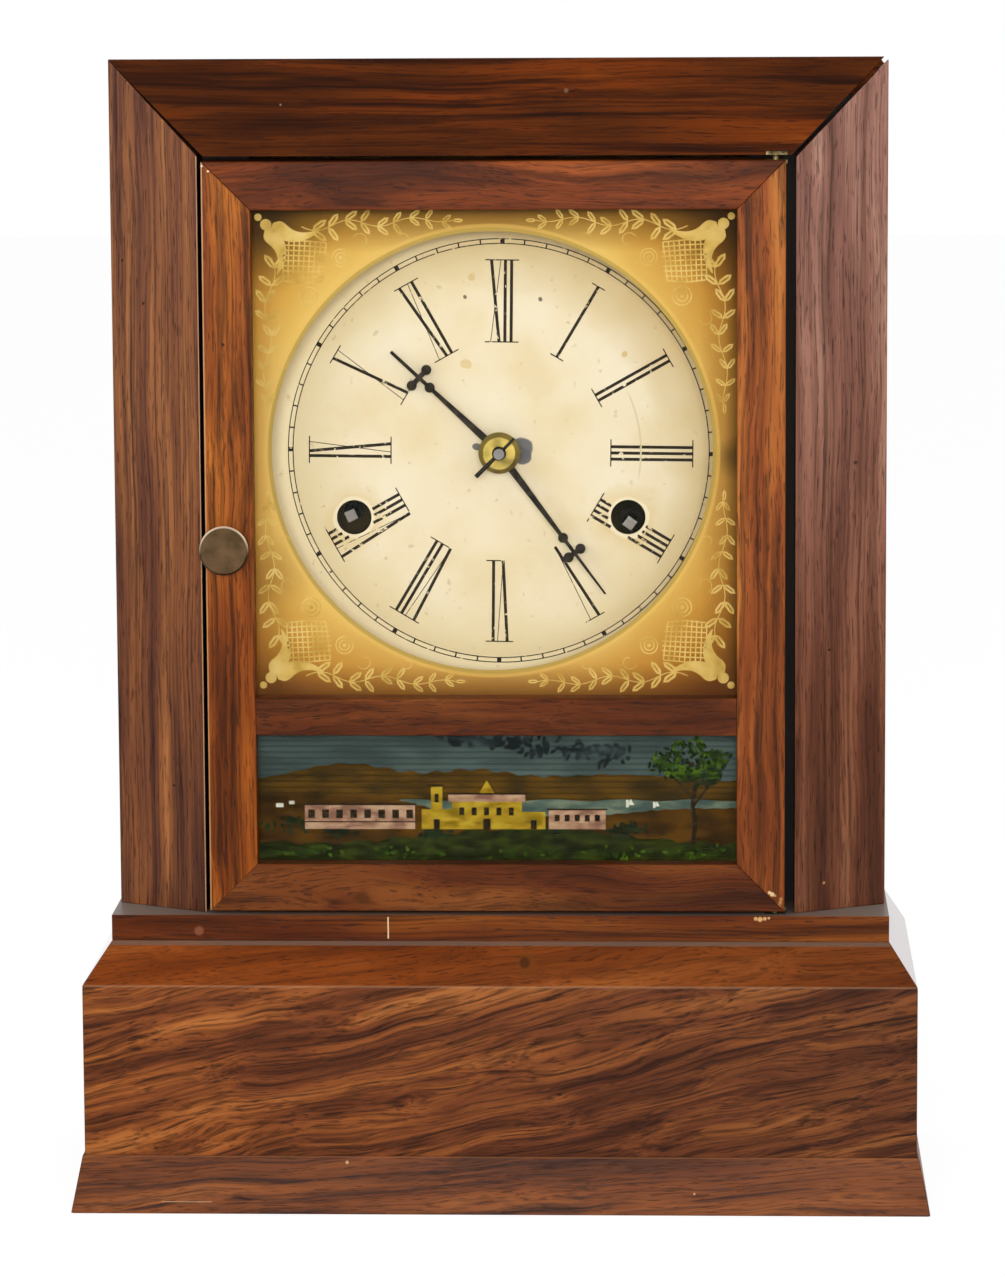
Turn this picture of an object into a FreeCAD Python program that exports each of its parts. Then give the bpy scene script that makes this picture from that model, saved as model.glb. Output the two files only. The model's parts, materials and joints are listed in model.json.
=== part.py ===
import FreeCAD, Part
import math
import os

from FreeCAD import Vector

# Cottage clock: a veneered case with a glazed door, an eight day time and strike movement, a pendulum
# and a gong.
# Millimetres. X runs to the viewer's right, Y to the back, Z up. The origin is the middle of the footprint.

# Case heights, from the ground up
FOOT_HEIGHT = 17.0
BASE_FACE_HEIGHT = 51.5
BASE_BEVEL_HEIGHT = 12.2
CAP_THICKNESS = 7.7
CASE_HEIGHT = 253.2

# Case widths and depths
CASE_WIDTH = 230.0
CASE_DEPTH = 108.0
CAP_OVERHANG = 0.8
BASE_BEVEL_SETBACK = 8.3
FOOT_FLARE = 4.0
FOOT_LEDGE = 0.6
BASE_BOARD = 14.0
BASE_REAR_RAIL = 10.0
SIDE_BOARD = 10.0
TOP_BOARD = 8.0
TOP_BOARD_DROP = 3.2
BACK_BOARD = 6.0
BACK_BOARD_INSET = 2.0

# Bevelled front frame
STILE_WIDTH = 27.25
RAIL_HEIGHT = 27.7
FRAME_SETBACK = 4.0
FRAME_BEVEL_DEPTH = 15.0
FRAME_EDGE = 2.7
LEFT_MITRE_GAPE = 1.8
RIGHT_MITRE_GAP = 1.3
RIGHT_STILE_DROP = 0.7

# Door
DOOR_PROUD = 2.4
DOOR_THICKNESS = 14.0
DOOR_MEMBER = 14.2
DOOR_GAP_LEFT = 1.4
DOOR_GAP_RIGHT = 3.0
DOOR_GAP_BOTTOM = 1.0
DOOR_GAP_TOP = 1.5
MUNTIN_HEIGHT = 11.2
LOWER_OPENING = 38.8
REBATE_WIDTH = 4.0
REBATE_DEPTH = 7.0
GLASS_THICKNESS = 2.0
GLASS_CLEARANCE = 0.3
BEAD_WIDTH = 3.4

# Pivot hinges at the door's right corners
HINGE_INSET = 3.0
HINGE_SETBACK = 4.2
HINGE_PLATE = (6.2, 4.6, 1.0)
HINGE_PLATE_OVERLAP = 3.4
HINGE_PIN_RADIUS = 1.0
HINGE_PIN_REACH = 1.2

# Turn latch
LATCH_INSET = 5.7
LATCH_HEIGHT = 108.8
KNOB_RADIUS = 7.3
KNOB_THICKNESS = 1.6
KNOB_STANDOFF = 3.0
KNOB_EDGE = 0.6
SPINDLE_RADIUS = 1.8
KNOB_NECK_RADIUS = 2.7
HOOK_LENGTH = 12.0
HOOK_WIDTH = 4.0
HOOK_THICKNESS = 1.5
HOOK_CLEARANCE = 0.6

# Dial
DIAL_HEIGHT = 224.85
DIAL_HALF_WIDTH = 82.0
DIAL_HALF_HEIGHT = 77.0
DIAL_SHEET = 0.6
DIAL_BEHIND_FRAME = 19.2
DIAL_CENTRE_HOLE = 4.2
WINDING_HOLE_RADIUS = 5.2
STRIKE_HOLE = (-43.7, -19.85)
TIME_HOLE = (38.2, -19.85)
DIAL_STRIP_OVERLAP = 8.0
DIAL_STRIP_THICKNESS = 8.0
DIAL_PIN_SPREAD = 60.0

# Nails and brads
NAIL_RADIUS = 0.8
NAIL_HEAD_RADIUS = 2.0
NAIL_HEAD = 0.7
NAIL_BITE = 8.0
NAILS_PER_SIDE = 4
NAIL_END_MARGIN = 20.0

# Hands, shown at twenty-four minutes past ten
HOUR_HAND_LENGTH = 44.0
MINUTE_HAND_LENGTH = 52.7
HOUR_HAND_ANGLE = 313.0
MINUTE_HAND_ANGLE = 143.4
HAND_THICKNESS = 0.7
HAND_HUB_RADIUS = 4.4
HAND_ROOT_WIDTH = 2.3
HAND_NECK_WIDTH = 1.1
HAND_CROSS_WIDTH = 1.5
HAND_DOT_RADIUS = 1.5
HOUR_HAND_BULB = 28.3
HOUR_HAND_CROSS = 32.6
HOUR_HAND_SPREAD = 3.2
HOUR_HAND_TIP_WIDTH = 0.9
MINUTE_HAND_BULB = 31.7
MINUTE_HAND_CROSS = 37.4
MINUTE_HAND_SPREAD = 2.2
MINUTE_HAND_TIP_WIDTH = 0.5
HOUR_HAND_CLEAR_OF_DIAL = 2.2
HAND_SPACING = 1.6
COLLET_RADIUS = 6.2
COLLET_THICKNESS = 1.4
TAPER_PIN_RADII = (0.7, 0.4)
TAPER_PIN_REACH = (9.7, 6.5)
TAPER_PIN_ANGLE = 45.0

# Movement frame
PLATE_LEFT = -66.0
PLATE_RIGHT = 60.0
PLATE_BOTTOM = -50.0
PLATE_TOP = 52.0
PLATE_CORNER = 6.0
PLATE_SHEET = 1.5
FRONT_PLATE_BEHIND_DIAL = 15.5
PILLAR_MARGIN = 5.0
PILLAR_RADIUS = 2.6
PILLAR_END_RADIUS = 1.5
PILLAR_END_LENGTH = 3.0
PILLAR_PIN_RADIUS = 0.5
PILLAR_PIN_LENGTH = 8.0
POST_INSET = 18.0
POST_RADIUS = 4.0
POST_LENGTH = 9.9
POST_STUD_RADIUS = 1.5
POST_HEAD_RADIUS = 3.0
POST_HEAD = 1.5
WINDOW_RADIUS = 9.0
PLATE_WINDOWS = ((-2.0, -34.0), (20.0, -36.0), (36.0, 33.0))

# Running fits
RUNNING_CLEARANCE = 0.05
END_SHAKE = 0.2
PIVOT_RADIUS = 0.7

# Teeth, in modules, and the lantern pinions that they drive
ADDENDUM = 0.9
DEDENDUM = 0.95
TOOTH_ROOT_HALF = 0.85
TOOTH_TIP_HALF = 0.35
TRUNDLE_RADIUS = 0.5
SHROUD = 1.0
SHROUD_RIM = 0.35
PINION_SIDE_CLEARANCE = 1.0
WHEEL_SHEET = 1.2
MAIN_WHEEL_SHEET = 1.6
SPOKES = 5
SPOKE_WIDTH = 2.0
WHEEL_HUB_RADIUS = 3.6
WHEEL_RIM = 1.8

# Trains: teeth, pins and modules
MAIN_TEETH = 54
MAIN_MODULE = 0.9
SECOND_TEETH = 54
SECOND_MODULE = 0.75
CENTRE_TEETH = 72
CENTRE_MODULE = 0.55
THIRD_TEETH = 60
THIRD_MODULE = 0.55
STRIKE_THIRD_TEETH = 48
STRIKE_THIRD_MODULE = 0.6
COARSE_PINS = 8
FINE_PINS = 6
MOTION_TEETH = 24
HOUR_TEETH = 32
MOTION_PINS = 8
HOUR_MODULE = 0.5
MOTION_ANGLE = -60.0
MOTION_STUD_RADIUS = 0.8
MOTION_PIPE_RADIUS = 1.25
MOTION_WHEEL_STANDOFF = 4.0
HOUR_WHEEL_STANDOFF = 9.2

# Places of the arbors, from the centre arbor, and depths of the wheels behind the front plate
TIME_ARBOR = (38.7, -21.8)
STRIKE_ARBOR = (-44.65, -19.45)
ESCAPE_ARBOR = (-14.0, 20.5)
VERGE_ABOVE_ESCAPE = 17.5
STRIKE_SECOND_ANGLE = 70.0
STRIKE_THIRD_ANGLE = 100.0
FLY_ANGLE = 60.0
HAMMER_ARBOR = (-20.0, -42.0)
ESCAPE_WHEEL_DEPTH = 1.5
THIRD_WHEEL_DEPTH = 5.0
CENTRE_WHEEL_DEPTH = 9.5
SECOND_WHEEL_DEPTH = 14.0
MAIN_WHEEL_DEPTH = 18.9

# Arbors
FINE_ARBOR_RADIUS = 0.85
COARSE_ARBOR_RADIUS = 1.4
CENTRE_ARBOR_RADIUS = 1.6
CENTRE_ARBOR_END = 1.6
HOUR_PIPE_RADIUS = 2.6
WINDING_ARBOR_RADIUS = 3.0
WINDING_PIVOT_RADIUS = 1.5
WINDING_SQUARE = 3.2
WINDING_SQUARE_BEHIND_DIAL = 0.3
TIME_SQUARE_TURN = -36.0
STRIKE_SQUARE_TURN = 24.0

# Ratchets and clicks
RATCHET_TEETH = 16
RATCHET_RADIUS = 9.0
RATCHET_DEPTH = 1.3
RATCHET_SHEET = 1.8
RATCHET_CLEARANCE = 0.3
CLICK_PIVOT_RADIUS = 1.6
CLICK_REACH = 15.0
CLICK_LEAD = 40.0
CLICK_NOSE_CLEARANCE = 0.25
CLICK_WIDTH = 2.2

# Escapement
ESCAPE_TEETH = 40
ESCAPE_RADIUS = 12.5
ESCAPE_TOOTH_DEPTH = 1.7
ESCAPE_SHEET = 0.9
PALLET_SPAN = 52.0
PALLET_CLEARANCE = 1.4
PALLET_NIB = 0.6
PALLET_STRIP = 1.2
VERGE_BOSS_RADIUS = 2.4
CRUTCH_STANDOFF = 3.0
CRUTCH_LENGTH = 34.0
CRUTCH_WIRE_RADIUS = 0.6
CRUTCH_LOOP_WALL = 1.0

# Pendulum: its length sets 9600 beats an hour for this train
PENDULUM_LENGTH = 140.0
PENDULUM_STANDOFF = 7.0
SUSPENSION_ABOVE_VERGE = 7.0
SUSPENSION_POST_RADIUS = 3.2
SUSPENSION_POST_WALL = 1.2
SUSPENSION_STRIP = (0.3, 5.0, 17.0)
SUSPENSION_STRIP_RISE = 2.4
SUSPENSION_SLIT_CLEARANCE = 0.28
ROD_CLAMP = (2.0, 4.0, 4.0)
ROD_RADIUS = 0.8
ROD_TAIL = 6.0
BOB_RADIUS = 15.0
BOB_THICKNESS = 8.0
BOB_EDGE = 1.6
RATING_NUT_RADIUS = 2.6
RATING_NUT = 2.4
PENDULUM_CLEARANCE = 0.3

# Mainsprings
SPRING_TURNS = 7
SPRING_PITCH = 2.3
SPRING_STRIP = 0.5
SPRING_CLEARANCE = 0.6
SPRING_ARBOR_CLEARANCE = 0.3

# Fly, hammer and gong
FLY_RADIUS = 8.5
FLY_LENGTH = 13.0
FLY_SHEET = 0.6
FLY_HUB_RADIUS = 1.6
HAMMER_WIRE_RADIUS = 1.0
HAMMER_HEAD = (3.6, 9.0)
HAMMER_FALL = (7.0, -34.0)
HAMMER_TAIL = 13.0
HAMMER_TAIL_ANGLE = 120.0
HAMMER_BEHIND_PLATE = 5.0
GONG_PLACE = (16.5, -97.0)
GONG_TURNS = 5
GONG_INNER_RADIUS = 8.0
GONG_PITCH = 5.0
GONG_WIRE_RADIUS = 1.2
GONG_BLOCK = (3.2, 3.0)
GONG_BLOCK_FRONT = 1.6
GONG_FLANGE_RADIUS = 9.0
GONG_FLANGE = 2.0
GONG_GAP_SAMPLES = 12

# Places that follow from the sizes above
z_base = FOOT_HEIGHT + BASE_FACE_HEIGHT
z_cap = z_base + BASE_BEVEL_HEIGHT
z_floor = z_cap + CAP_THICKNESS
z_top = z_floor + CASE_HEIGHT
z_rail = z_top - RAIL_HEIGHT
y_back = CASE_DEPTH / 2
y_back_board = y_back - BACK_BOARD
y_base = FOOT_FLARE - y_back
y_cap = y_base + BASE_BEVEL_SETBACK
y_frame = y_cap + FRAME_SETBACK
y_frame_outer = y_frame + FRAME_BEVEL_DEPTH
y_frame_back = y_frame_outer + FRAME_EDGE
case_half = CASE_WIDTH / 2
cap_half = case_half + CAP_OVERHANG
base_half = cap_half + BASE_BEVEL_SETBACK
opening_half = case_half - STILE_WIDTH

door_left = DOOR_GAP_LEFT - opening_half
door_right = opening_half - DOOR_GAP_RIGHT
door_bottom = z_floor + DOOR_GAP_BOTTOM
door_top = z_rail - DOOR_GAP_TOP
y_door = y_frame - DOOR_PROUD
y_door_back = y_door + DOOR_THICKNESS
y_glass = y_door + REBATE_DEPTH
pane_left = door_left + DOOR_MEMBER
pane_right = door_right - DOOR_MEMBER
pane_bottom = door_bottom + DOOR_MEMBER
muntin_bottom = pane_bottom + LOWER_OPENING
muntin_top = muntin_bottom + MUNTIN_HEIGHT
pane_top = door_top - DOOR_MEMBER
hinge_x = door_right - HINGE_INSET
hinge_y = y_door + HINGE_SETBACK
latch_x = door_left + LATCH_INSET
latch_z = door_bottom + LATCH_HEIGHT

y_dial = y_frame + DIAL_BEHIND_FRAME
y_dial_back = y_dial + DIAL_SHEET
y_front_plate = y_dial_back + FRONT_PLATE_BEHIND_DIAL
y_plate_inner = y_front_plate + PLATE_SHEET
y_back_plate_rear = y_back_board - POST_LENGTH
y_back_plate = y_back_plate_rear - PLATE_SHEET


def box(x0, x1, y0, y1, z0, z1):
    return Part.makeBox(x1 - x0, y1 - y0, z1 - z0, Vector(x0, y0, z0))


def face(points):
    corners = [Vector(*point) for point in points]
    return Part.Face(Part.makePolygon(corners + corners[:1]))


def span(start, end):
    """A straight member between two flat end outlines with as many corners."""
    count = len(start)
    sides = []
    for i in range(count):
        j = (i + 1) % count
        sides.append(face([start[i], start[j], end[j], end[i]]))
    solid = Part.makeSolid(Part.makeShell([face(start), face(end)] + sides))
    return solid if solid.Volume > 0 else solid.reversed()


def fuse(first, *others):
    return first.fuse(list(others)).removeSplitter()


def cut(shape, *tools):
    return shape.cut(list(tools))


# Movement places are given from the centre arbor
def at(place, y):
    return Vector(place[0], y, DIAL_HEIGHT + place[1])


def rod(place, radius, y0, y1):
    return Part.makeCylinder(radius, y1 - y0, at(place, y0), Vector(0, 1, 0))


def polar(place, radius, angle):
    turn = math.radians(angle)
    return (place[0] + radius * math.cos(turn), place[1] + radius * math.sin(turn))


def heading(start, end):
    return math.degrees(math.atan2(end[1] - start[1], end[0] - start[0]))


def distance(start, end):
    return math.hypot(end[0] - start[0], end[1] - start[1])


def meeting(first, first_radius, second, second_radius):
    """The place at given distances from two places, on the left of the line from first to second."""
    length = distance(first, second)
    along = (first_radius ** 2 - second_radius ** 2 + length ** 2) / (2 * length)
    side = math.sqrt(first_radius ** 2 - along ** 2)
    return polar(polar(first, along, heading(first, second)), side, heading(first, second) + 90)


def plan(points, y, thickness):
    """A flat piece cut from sheet: an outline in movement places, thickened to the back."""
    return face([at(point, y) for point in points]).extrude(Vector(0, thickness, 0))


def bar(start, end, width, y, thickness):
    """A straight strip of sheet between two places."""
    across = heading(start, end) + 90
    corners = []
    for place, side in ((start, 1), (end, 1), (end, -1), (start, -1)):
        corners.append(polar(place, side * width / 2, across))
    return plan(corners, y, thickness)


# Base: mitred panels with a bevelled top, flared foot mouldings and the cap board that is the case floor
def front_strip(profile):
    left = [(u - base_half, y_base + u, z) for u, z in profile]
    right = [(base_half - u, y_base + u, z) for u, z in profile]
    return span(left, right)


def side_strip(profile, side):
    front = [(side * (base_half - u), y_base + u, z) for u, z in profile]
    back = [(side * (base_half - u), y_back, z) for u, z in profile]
    return span(front, back)


panel_profile = [(0, 0), (0, z_base), (BASE_BEVEL_SETBACK, z_cap), (BASE_BOARD, z_cap), (BASE_BOARD, 0)]
foot_profile = [(0, 0), (-FOOT_FLARE, 0), (-FOOT_LEDGE, FOOT_HEIGHT), (0, FOOT_HEIGHT)]

nodes = {
    "base_front_panel": front_strip(panel_profile),
    "base_left_panel": side_strip(panel_profile, -1),
    "base_right_panel": side_strip(panel_profile, 1),
    "foot_front": front_strip(foot_profile),
    "foot_left": side_strip(foot_profile, -1),
    "foot_right": side_strip(foot_profile, 1),
}
base_inner_half = base_half - BASE_BOARD
nodes["base_rear_rail"] = box(-base_inner_half, base_inner_half, y_back - BASE_REAR_RAIL, y_back, 0, z_cap)

# Case: two sides, a top and a back board
side_inner = case_half - SIDE_BOARD
z_top_board = z_top - TOP_BOARD_DROP - TOP_BOARD
z_roof = z_top_board + TOP_BOARD
back_half = case_half - BACK_BOARD_INSET
case_top_board = box(-case_half, case_half, y_frame_back, y_back_board, z_top_board, z_roof)
back_board = box(-back_half, back_half, y_back_board, y_back, z_floor, z_roof - BACK_BOARD_INSET)
case_sides = {}
for side in (-1, 1):
    edges = sorted((side * side_inner, side * case_half))
    case_sides[side] = box(*edges, y_frame_back, y_back_board, z_floor, z_top_board)

# Dial sheet on two strips that stand against the case sides
dial_bottom = DIAL_HEIGHT - DIAL_HALF_HEIGHT
dial_plate = box(-DIAL_HALF_WIDTH, DIAL_HALF_WIDTH, y_dial, y_dial_back, dial_bottom,
                 DIAL_HEIGHT + DIAL_HALF_HEIGHT)
dial_holes = [rod((0, 0), DIAL_CENTRE_HOLE, y_dial, y_dial_back)]
for place in (STRIKE_HOLE, TIME_HOLE):
    dial_holes.append(rod(place, WINDING_HOLE_RADIUS, y_dial, y_dial_back))
dial_plate = cut(dial_plate, *dial_holes)
strip_inner = DIAL_HALF_WIDTH - DIAL_STRIP_OVERLAP
dial_strips = []
for side in (-1, 1):
    edges = sorted((side * strip_inner, side * side_inner))
    strip = box(*edges, y_dial_back, y_dial_back + DIAL_STRIP_THICKNESS, z_floor, z_top_board)
    dial_strips.append(strip)


# Nails through the back board into the sides, and brads through the dial into its strips
def nail(x, y, z, direction, bite):
    """A nail whose head's outer face is at y, driven along Y in the given direction."""
    axis = Vector(0, direction, 0)
    head = Part.makeCylinder(NAIL_HEAD_RADIUS, NAIL_HEAD, Vector(x, y, z), axis)
    return fuse(head, Part.makeCylinder(NAIL_RADIUS, bite, Vector(x, y, z), axis))


nails = []
nail_step = (z_top_board - z_floor - 2 * NAIL_END_MARGIN) / (NAILS_PER_SIDE - 1)
for side in (-1, 1):
    for i in range(NAILS_PER_SIDE):
        nail_z = z_floor + NAIL_END_MARGIN + i * nail_step
        nails.append(nail(side * (case_half - SIDE_BOARD / 2), y_back, nail_z, -1, BACK_BOARD + NAIL_BITE))
back_board = cut(back_board, *nails)
for side in (-1, 1):
    case_sides[side] = cut(case_sides[side], *nails)

brads = []
brad_x = DIAL_HALF_WIDTH - DIAL_STRIP_OVERLAP / 2
brad_bite = NAIL_HEAD + DIAL_SHEET + DIAL_STRIP_THICKNESS / 2
for side in (-1, 1):
    for end in (-1, 1):
        brad_z = DIAL_HEIGHT + end * DIAL_PIN_SPREAD
        brads.append(nail(side * brad_x, y_dial - NAIL_HEAD, brad_z, 1, brad_bite))
dial_plate = cut(dial_plate, *brads)
dial_strips = [cut(strip, *brads) for strip in dial_strips]

nodes["case_left_side"] = case_sides[-1]
nodes["case_right_side"] = case_sides[1]
nodes["case_top_board"] = case_top_board
nodes["case_nails"] = Part.makeCompound(nails + brads)
nodes["dial_plate"] = dial_plate
nodes["dial_strips"] = Part.makeCompound(dial_strips)


# Front frame: bevelled stiles and rail, mitred at the top, with the mitres a little open
def stile(side, drop):
    profile = [(0, y_frame), (STILE_WIDTH, y_frame_outer), (STILE_WIDTH, y_frame_back), (0, y_frame_back)]
    rise = RAIL_HEIGHT / STILE_WIDTH
    bottom = [(side * (opening_half + u), y, z_floor) for u, y in profile]
    top = [(side * (opening_half + u), y, z_rail + rise * u - drop) for u, y in profile]
    return span(bottom, top)


rail_profile = [(0, y_frame), (RAIL_HEIGHT, y_frame_outer), (RAIL_HEIGHT, y_frame_back), (0, y_frame_back)]
rail_left = []
rail_right = []
for v, y in rail_profile:
    reach = opening_half + v * STILE_WIDTH / RAIL_HEIGHT
    rail_left.append((LEFT_MITRE_GAPE * (1 - v / RAIL_HEIGHT) - reach, y, z_rail + v))
    rail_right.append((reach - RIGHT_MITRE_GAP, y, z_rail + v))
frame_top_rail = span(rail_left, rail_right)

# The latch hook turns into a mortise in the left stile
hook_front = y_door_back + RUNNING_CLEARANCE
mortise_half = HOOK_WIDTH / 2 + HOOK_CLEARANCE
mortise = box(latch_x - HOOK_LENGTH - HOOK_CLEARANCE, -opening_half,
              hook_front - HOOK_CLEARANCE, hook_front + HOOK_THICKNESS + HOOK_CLEARANCE,
              latch_z - HOOK_LENGTH - HOOK_CLEARANCE, latch_z + mortise_half)
nodes["frame_left_stile"] = cut(stile(-1, 0), mortise)
nodes["frame_right_stile"] = stile(1, RIGHT_STILE_DROP)


# Pivot hinges: eye plates let into the case, and pin plates let into the door
def hinge_plate(z0, z1):
    length, width, _ = HINGE_PLATE
    x1 = hinge_x + HINGE_PLATE_OVERLAP
    return box(x1 - length, x1, hinge_y - width / 2, hinge_y + width / 2, z0, z1)


def hinge_pin(radius, z0, z1):
    return Part.makeCylinder(radius, z1 - z0, Vector(hinge_x, hinge_y, z0))


plate_sheet = HINGE_PLATE[2]
eye_radius = HINGE_PIN_RADIUS + RUNNING_CLEARANCE
upper_eye = cut(hinge_plate(z_rail, z_rail + plate_sheet),
                hinge_pin(eye_radius, z_rail, z_rail + plate_sheet))
lower_eye = cut(hinge_plate(z_floor - plate_sheet, z_floor),
                hinge_pin(eye_radius, z_floor - plate_sheet, z_floor))
upper_pin = fuse(hinge_plate(door_top - plate_sheet, door_top),
                 hinge_pin(HINGE_PIN_RADIUS, door_top - plate_sheet, z_rail + HINGE_PIN_REACH))
lower_pin = fuse(hinge_plate(door_bottom, door_bottom + plate_sheet),
                 hinge_pin(HINGE_PIN_RADIUS, z_floor - HINGE_PIN_REACH, door_bottom + plate_sheet))
pin_end = HINGE_PIN_REACH + END_SHAKE
nodes["frame_top_rail"] = cut(frame_top_rail, hinge_plate(z_rail, z_rail + plate_sheet),
                              hinge_pin(eye_radius, z_rail, z_rail + pin_end))
nodes["base_cap_board"] = cut(box(-cap_half, cap_half, y_cap, y_back, z_cap, z_floor),
                              hinge_plate(z_floor - plate_sheet, z_floor),
                              hinge_pin(eye_radius, z_floor - pin_end, z_floor))
nodes["hinge_eye_plates"] = Part.makeCompound([upper_eye, lower_eye])
nodes["hinge_pin_plates"] = Part.makeCompound([upper_pin, lower_pin])

# Door: four mitred members with a rebate behind the panes, and a muntin between them
rebate_edge = DOOR_MEMBER - REBATE_WIDTH
door_profile = [(0, 0), (DOOR_MEMBER, 0), (DOOR_MEMBER, REBATE_DEPTH), (rebate_edge, REBATE_DEPTH),
                (rebate_edge, DOOR_THICKNESS), (0, DOOR_THICKNESS)]


def door_rail(edge, inward):
    left = [(door_left + u, y_door + depth, edge + inward * u) for u, depth in door_profile]
    right = [(door_right - u, y_door + depth, edge + inward * u) for u, depth in door_profile]
    return cut(span(left, right), upper_pin, lower_pin)


def door_stile(edge, inward):
    bottom = [(edge + inward * u, y_door + depth, door_bottom + u) for u, depth in door_profile]
    top = [(edge + inward * u, y_door + depth, door_top - u) for u, depth in door_profile]
    return cut(span(bottom, top), upper_pin, lower_pin)


spindle_axis = Vector(0, 1, 0)
spindle_hole = Part.makeCylinder(SPINDLE_RADIUS + RUNNING_CLEARANCE, DOOR_THICKNESS,
                                 Vector(latch_x, y_door, latch_z), spindle_axis)
nodes["door_top_rail"] = door_rail(door_top, -1)
nodes["door_bottom_rail"] = door_rail(door_bottom, 1)
nodes["door_left_stile"] = cut(door_stile(door_left, 1), spindle_hole)
nodes["door_right_stile"] = door_stile(door_right, -1)
rebate_left = pane_left - REBATE_WIDTH
rebate_right = pane_right + REBATE_WIDTH
nodes["door_muntin"] = fuse(box(pane_left, pane_right, y_door, y_glass, muntin_bottom, muntin_top),
                            box(rebate_left, rebate_right, y_glass, y_door_back, muntin_bottom + REBATE_WIDTH,
                                muntin_top - REBATE_WIDTH))


# Panes lie in the rebates, held by four beads each
def pane(bottom, top):
    lap = REBATE_WIDTH - GLASS_CLEARANCE
    return box(pane_left - lap, pane_right + lap, y_glass, y_glass + GLASS_THICKNESS, bottom - lap, top + lap)


def beads(bottom, top):
    y0 = y_glass + GLASS_THICKNESS
    low = bottom - REBATE_WIDTH
    high = top + REBATE_WIDTH
    upright = (y0, y_door_back, low + BEAD_WIDTH, high - BEAD_WIDTH)
    return [box(rebate_left, rebate_right, y0, y_door_back, low, low + BEAD_WIDTH),
            box(rebate_left, rebate_right, y0, y_door_back, high - BEAD_WIDTH, high),
            box(rebate_left, rebate_left + BEAD_WIDTH, *upright),
            box(rebate_right - BEAD_WIDTH, rebate_right, *upright)]


nodes["dial_glass"] = pane(muntin_top, pane_top)
nodes["lower_glass"] = pane(pane_bottom, muntin_bottom)
nodes["glazing_beads"] = Part.makeCompound(beads(muntin_top, pane_top) + beads(pane_bottom, muntin_bottom))

# Turn latch: a flat knob on a spindle, and the hook behind the door, which hangs down when it is open
knob_back = y_door - KNOB_STANDOFF
knob_front = knob_back - KNOB_THICKNESS
knob_profile = [(0, knob_front), (KNOB_RADIUS - KNOB_EDGE, knob_front), (KNOB_RADIUS, knob_front + KNOB_EDGE),
                (KNOB_RADIUS, knob_back - KNOB_EDGE), (KNOB_RADIUS - KNOB_EDGE, knob_back),
                (KNOB_NECK_RADIUS, knob_back), (KNOB_NECK_RADIUS, y_door - RUNNING_CLEARANCE),
                (SPINDLE_RADIUS, y_door - RUNNING_CLEARANCE), (SPINDLE_RADIUS, hook_front), (0, hook_front)]
knob_section = face([(latch_x + radius, y, latch_z) for radius, y in knob_profile])
nodes["latch_knob"] = knob_section.revolve(Vector(latch_x, 0, latch_z), spindle_axis, 360)
hook = fuse(box(latch_x - HOOK_WIDTH / 2, latch_x + HOOK_WIDTH / 2, hook_front, hook_front + HOOK_THICKNESS,
                latch_z - HOOK_LENGTH, latch_z),
            Part.makeCylinder(HOOK_WIDTH / 2, HOOK_THICKNESS, Vector(latch_x, hook_front, latch_z),
                              spindle_axis))
nodes["latch_hook"] = hook


# Wheels and lantern pinions. A wheel shows a gap, and a pinion a pin, towards the place that it meshes with.
def arc_edge(place, radius, start, end, y):
    middle = (start + end) / 2
    points = [at(polar(place, radius, angle), y) for angle in (start, middle, end)]
    return Part.Arc(*points).toShape()


def spoke_windows(place, inner, outer, y, thickness):
    """The openings between the spokes of a wheel."""
    windows = []
    for i in range(SPOKES):
        inner_half = math.degrees(math.asin(SPOKE_WIDTH / 2 / inner))
        outer_half = math.degrees(math.asin(SPOKE_WIDTH / 2 / outer))
        first = 360 / SPOKES * i
        last = first + 360 / SPOKES
        start = polar(place, inner, first + inner_half), polar(place, outer, first + outer_half)
        end = polar(place, outer, last - outer_half), polar(place, inner, last - inner_half)
        edges = [Part.makeLine(at(start[0], y), at(start[1], y)),
                 arc_edge(place, outer, first + outer_half, last - outer_half, y),
                 Part.makeLine(at(end[0], y), at(end[1], y)),
                 arc_edge(place, inner, last - inner_half, first + inner_half, y)]
        windows.append(Part.Face(Part.Wire(edges)).extrude(Vector(0, thickness, 0)))
    return windows


def toothed_disc(place, radii, half_widths, teeth, first_gap, y, thickness):
    """Straight flanked teeth between the root and tip radii, with half their width given at each."""
    root, tip = radii
    outline = []
    for i in range(teeth):
        middle = first_gap + 360 / teeth * (i + 0.5)
        for radius, half in ((root, -half_widths[0]), (tip, -half_widths[1]), (tip, half_widths[1]),
                             (root, half_widths[0])):
            outline.append(polar(place, radius, middle + math.degrees(half / radius)))
    return plan(outline, y, thickness)


def wheel(place, teeth, module, toward, y, thickness, spoked=True):
    pitch = teeth * module / 2
    root = pitch - DEDENDUM * module
    disc = toothed_disc(place, (root, pitch + ADDENDUM * module),
                        (TOOTH_ROOT_HALF * module, TOOTH_TIP_HALF * module),
                        teeth, heading(place, toward), y, thickness)
    if not spoked:
        return disc
    return cut(disc, *spoke_windows(place, WHEEL_HUB_RADIUS, root - WHEEL_RIM, y, thickness))


def lantern(place, pins, module, toward, y, thickness):
    """Trundles between two shrouds, round a wheel that starts at y and has the given thickness."""
    pitch = pins * module / 2
    shroud_radius = pitch + TRUNDLE_RADIUS * module + SHROUD_RIM
    front = y - PINION_SIDE_CLEARANCE
    back = y + thickness + PINION_SIDE_CLEARANCE
    pieces = [rod(place, shroud_radius, front - SHROUD, front),
              rod(place, shroud_radius, back, back + SHROUD)]
    for i in range(pins):
        trundle = polar(place, pitch, heading(place, toward) + 360 / pins * i)
        pieces.append(rod(trundle, TRUNDLE_RADIUS * module, front, back))
    return pieces


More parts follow.
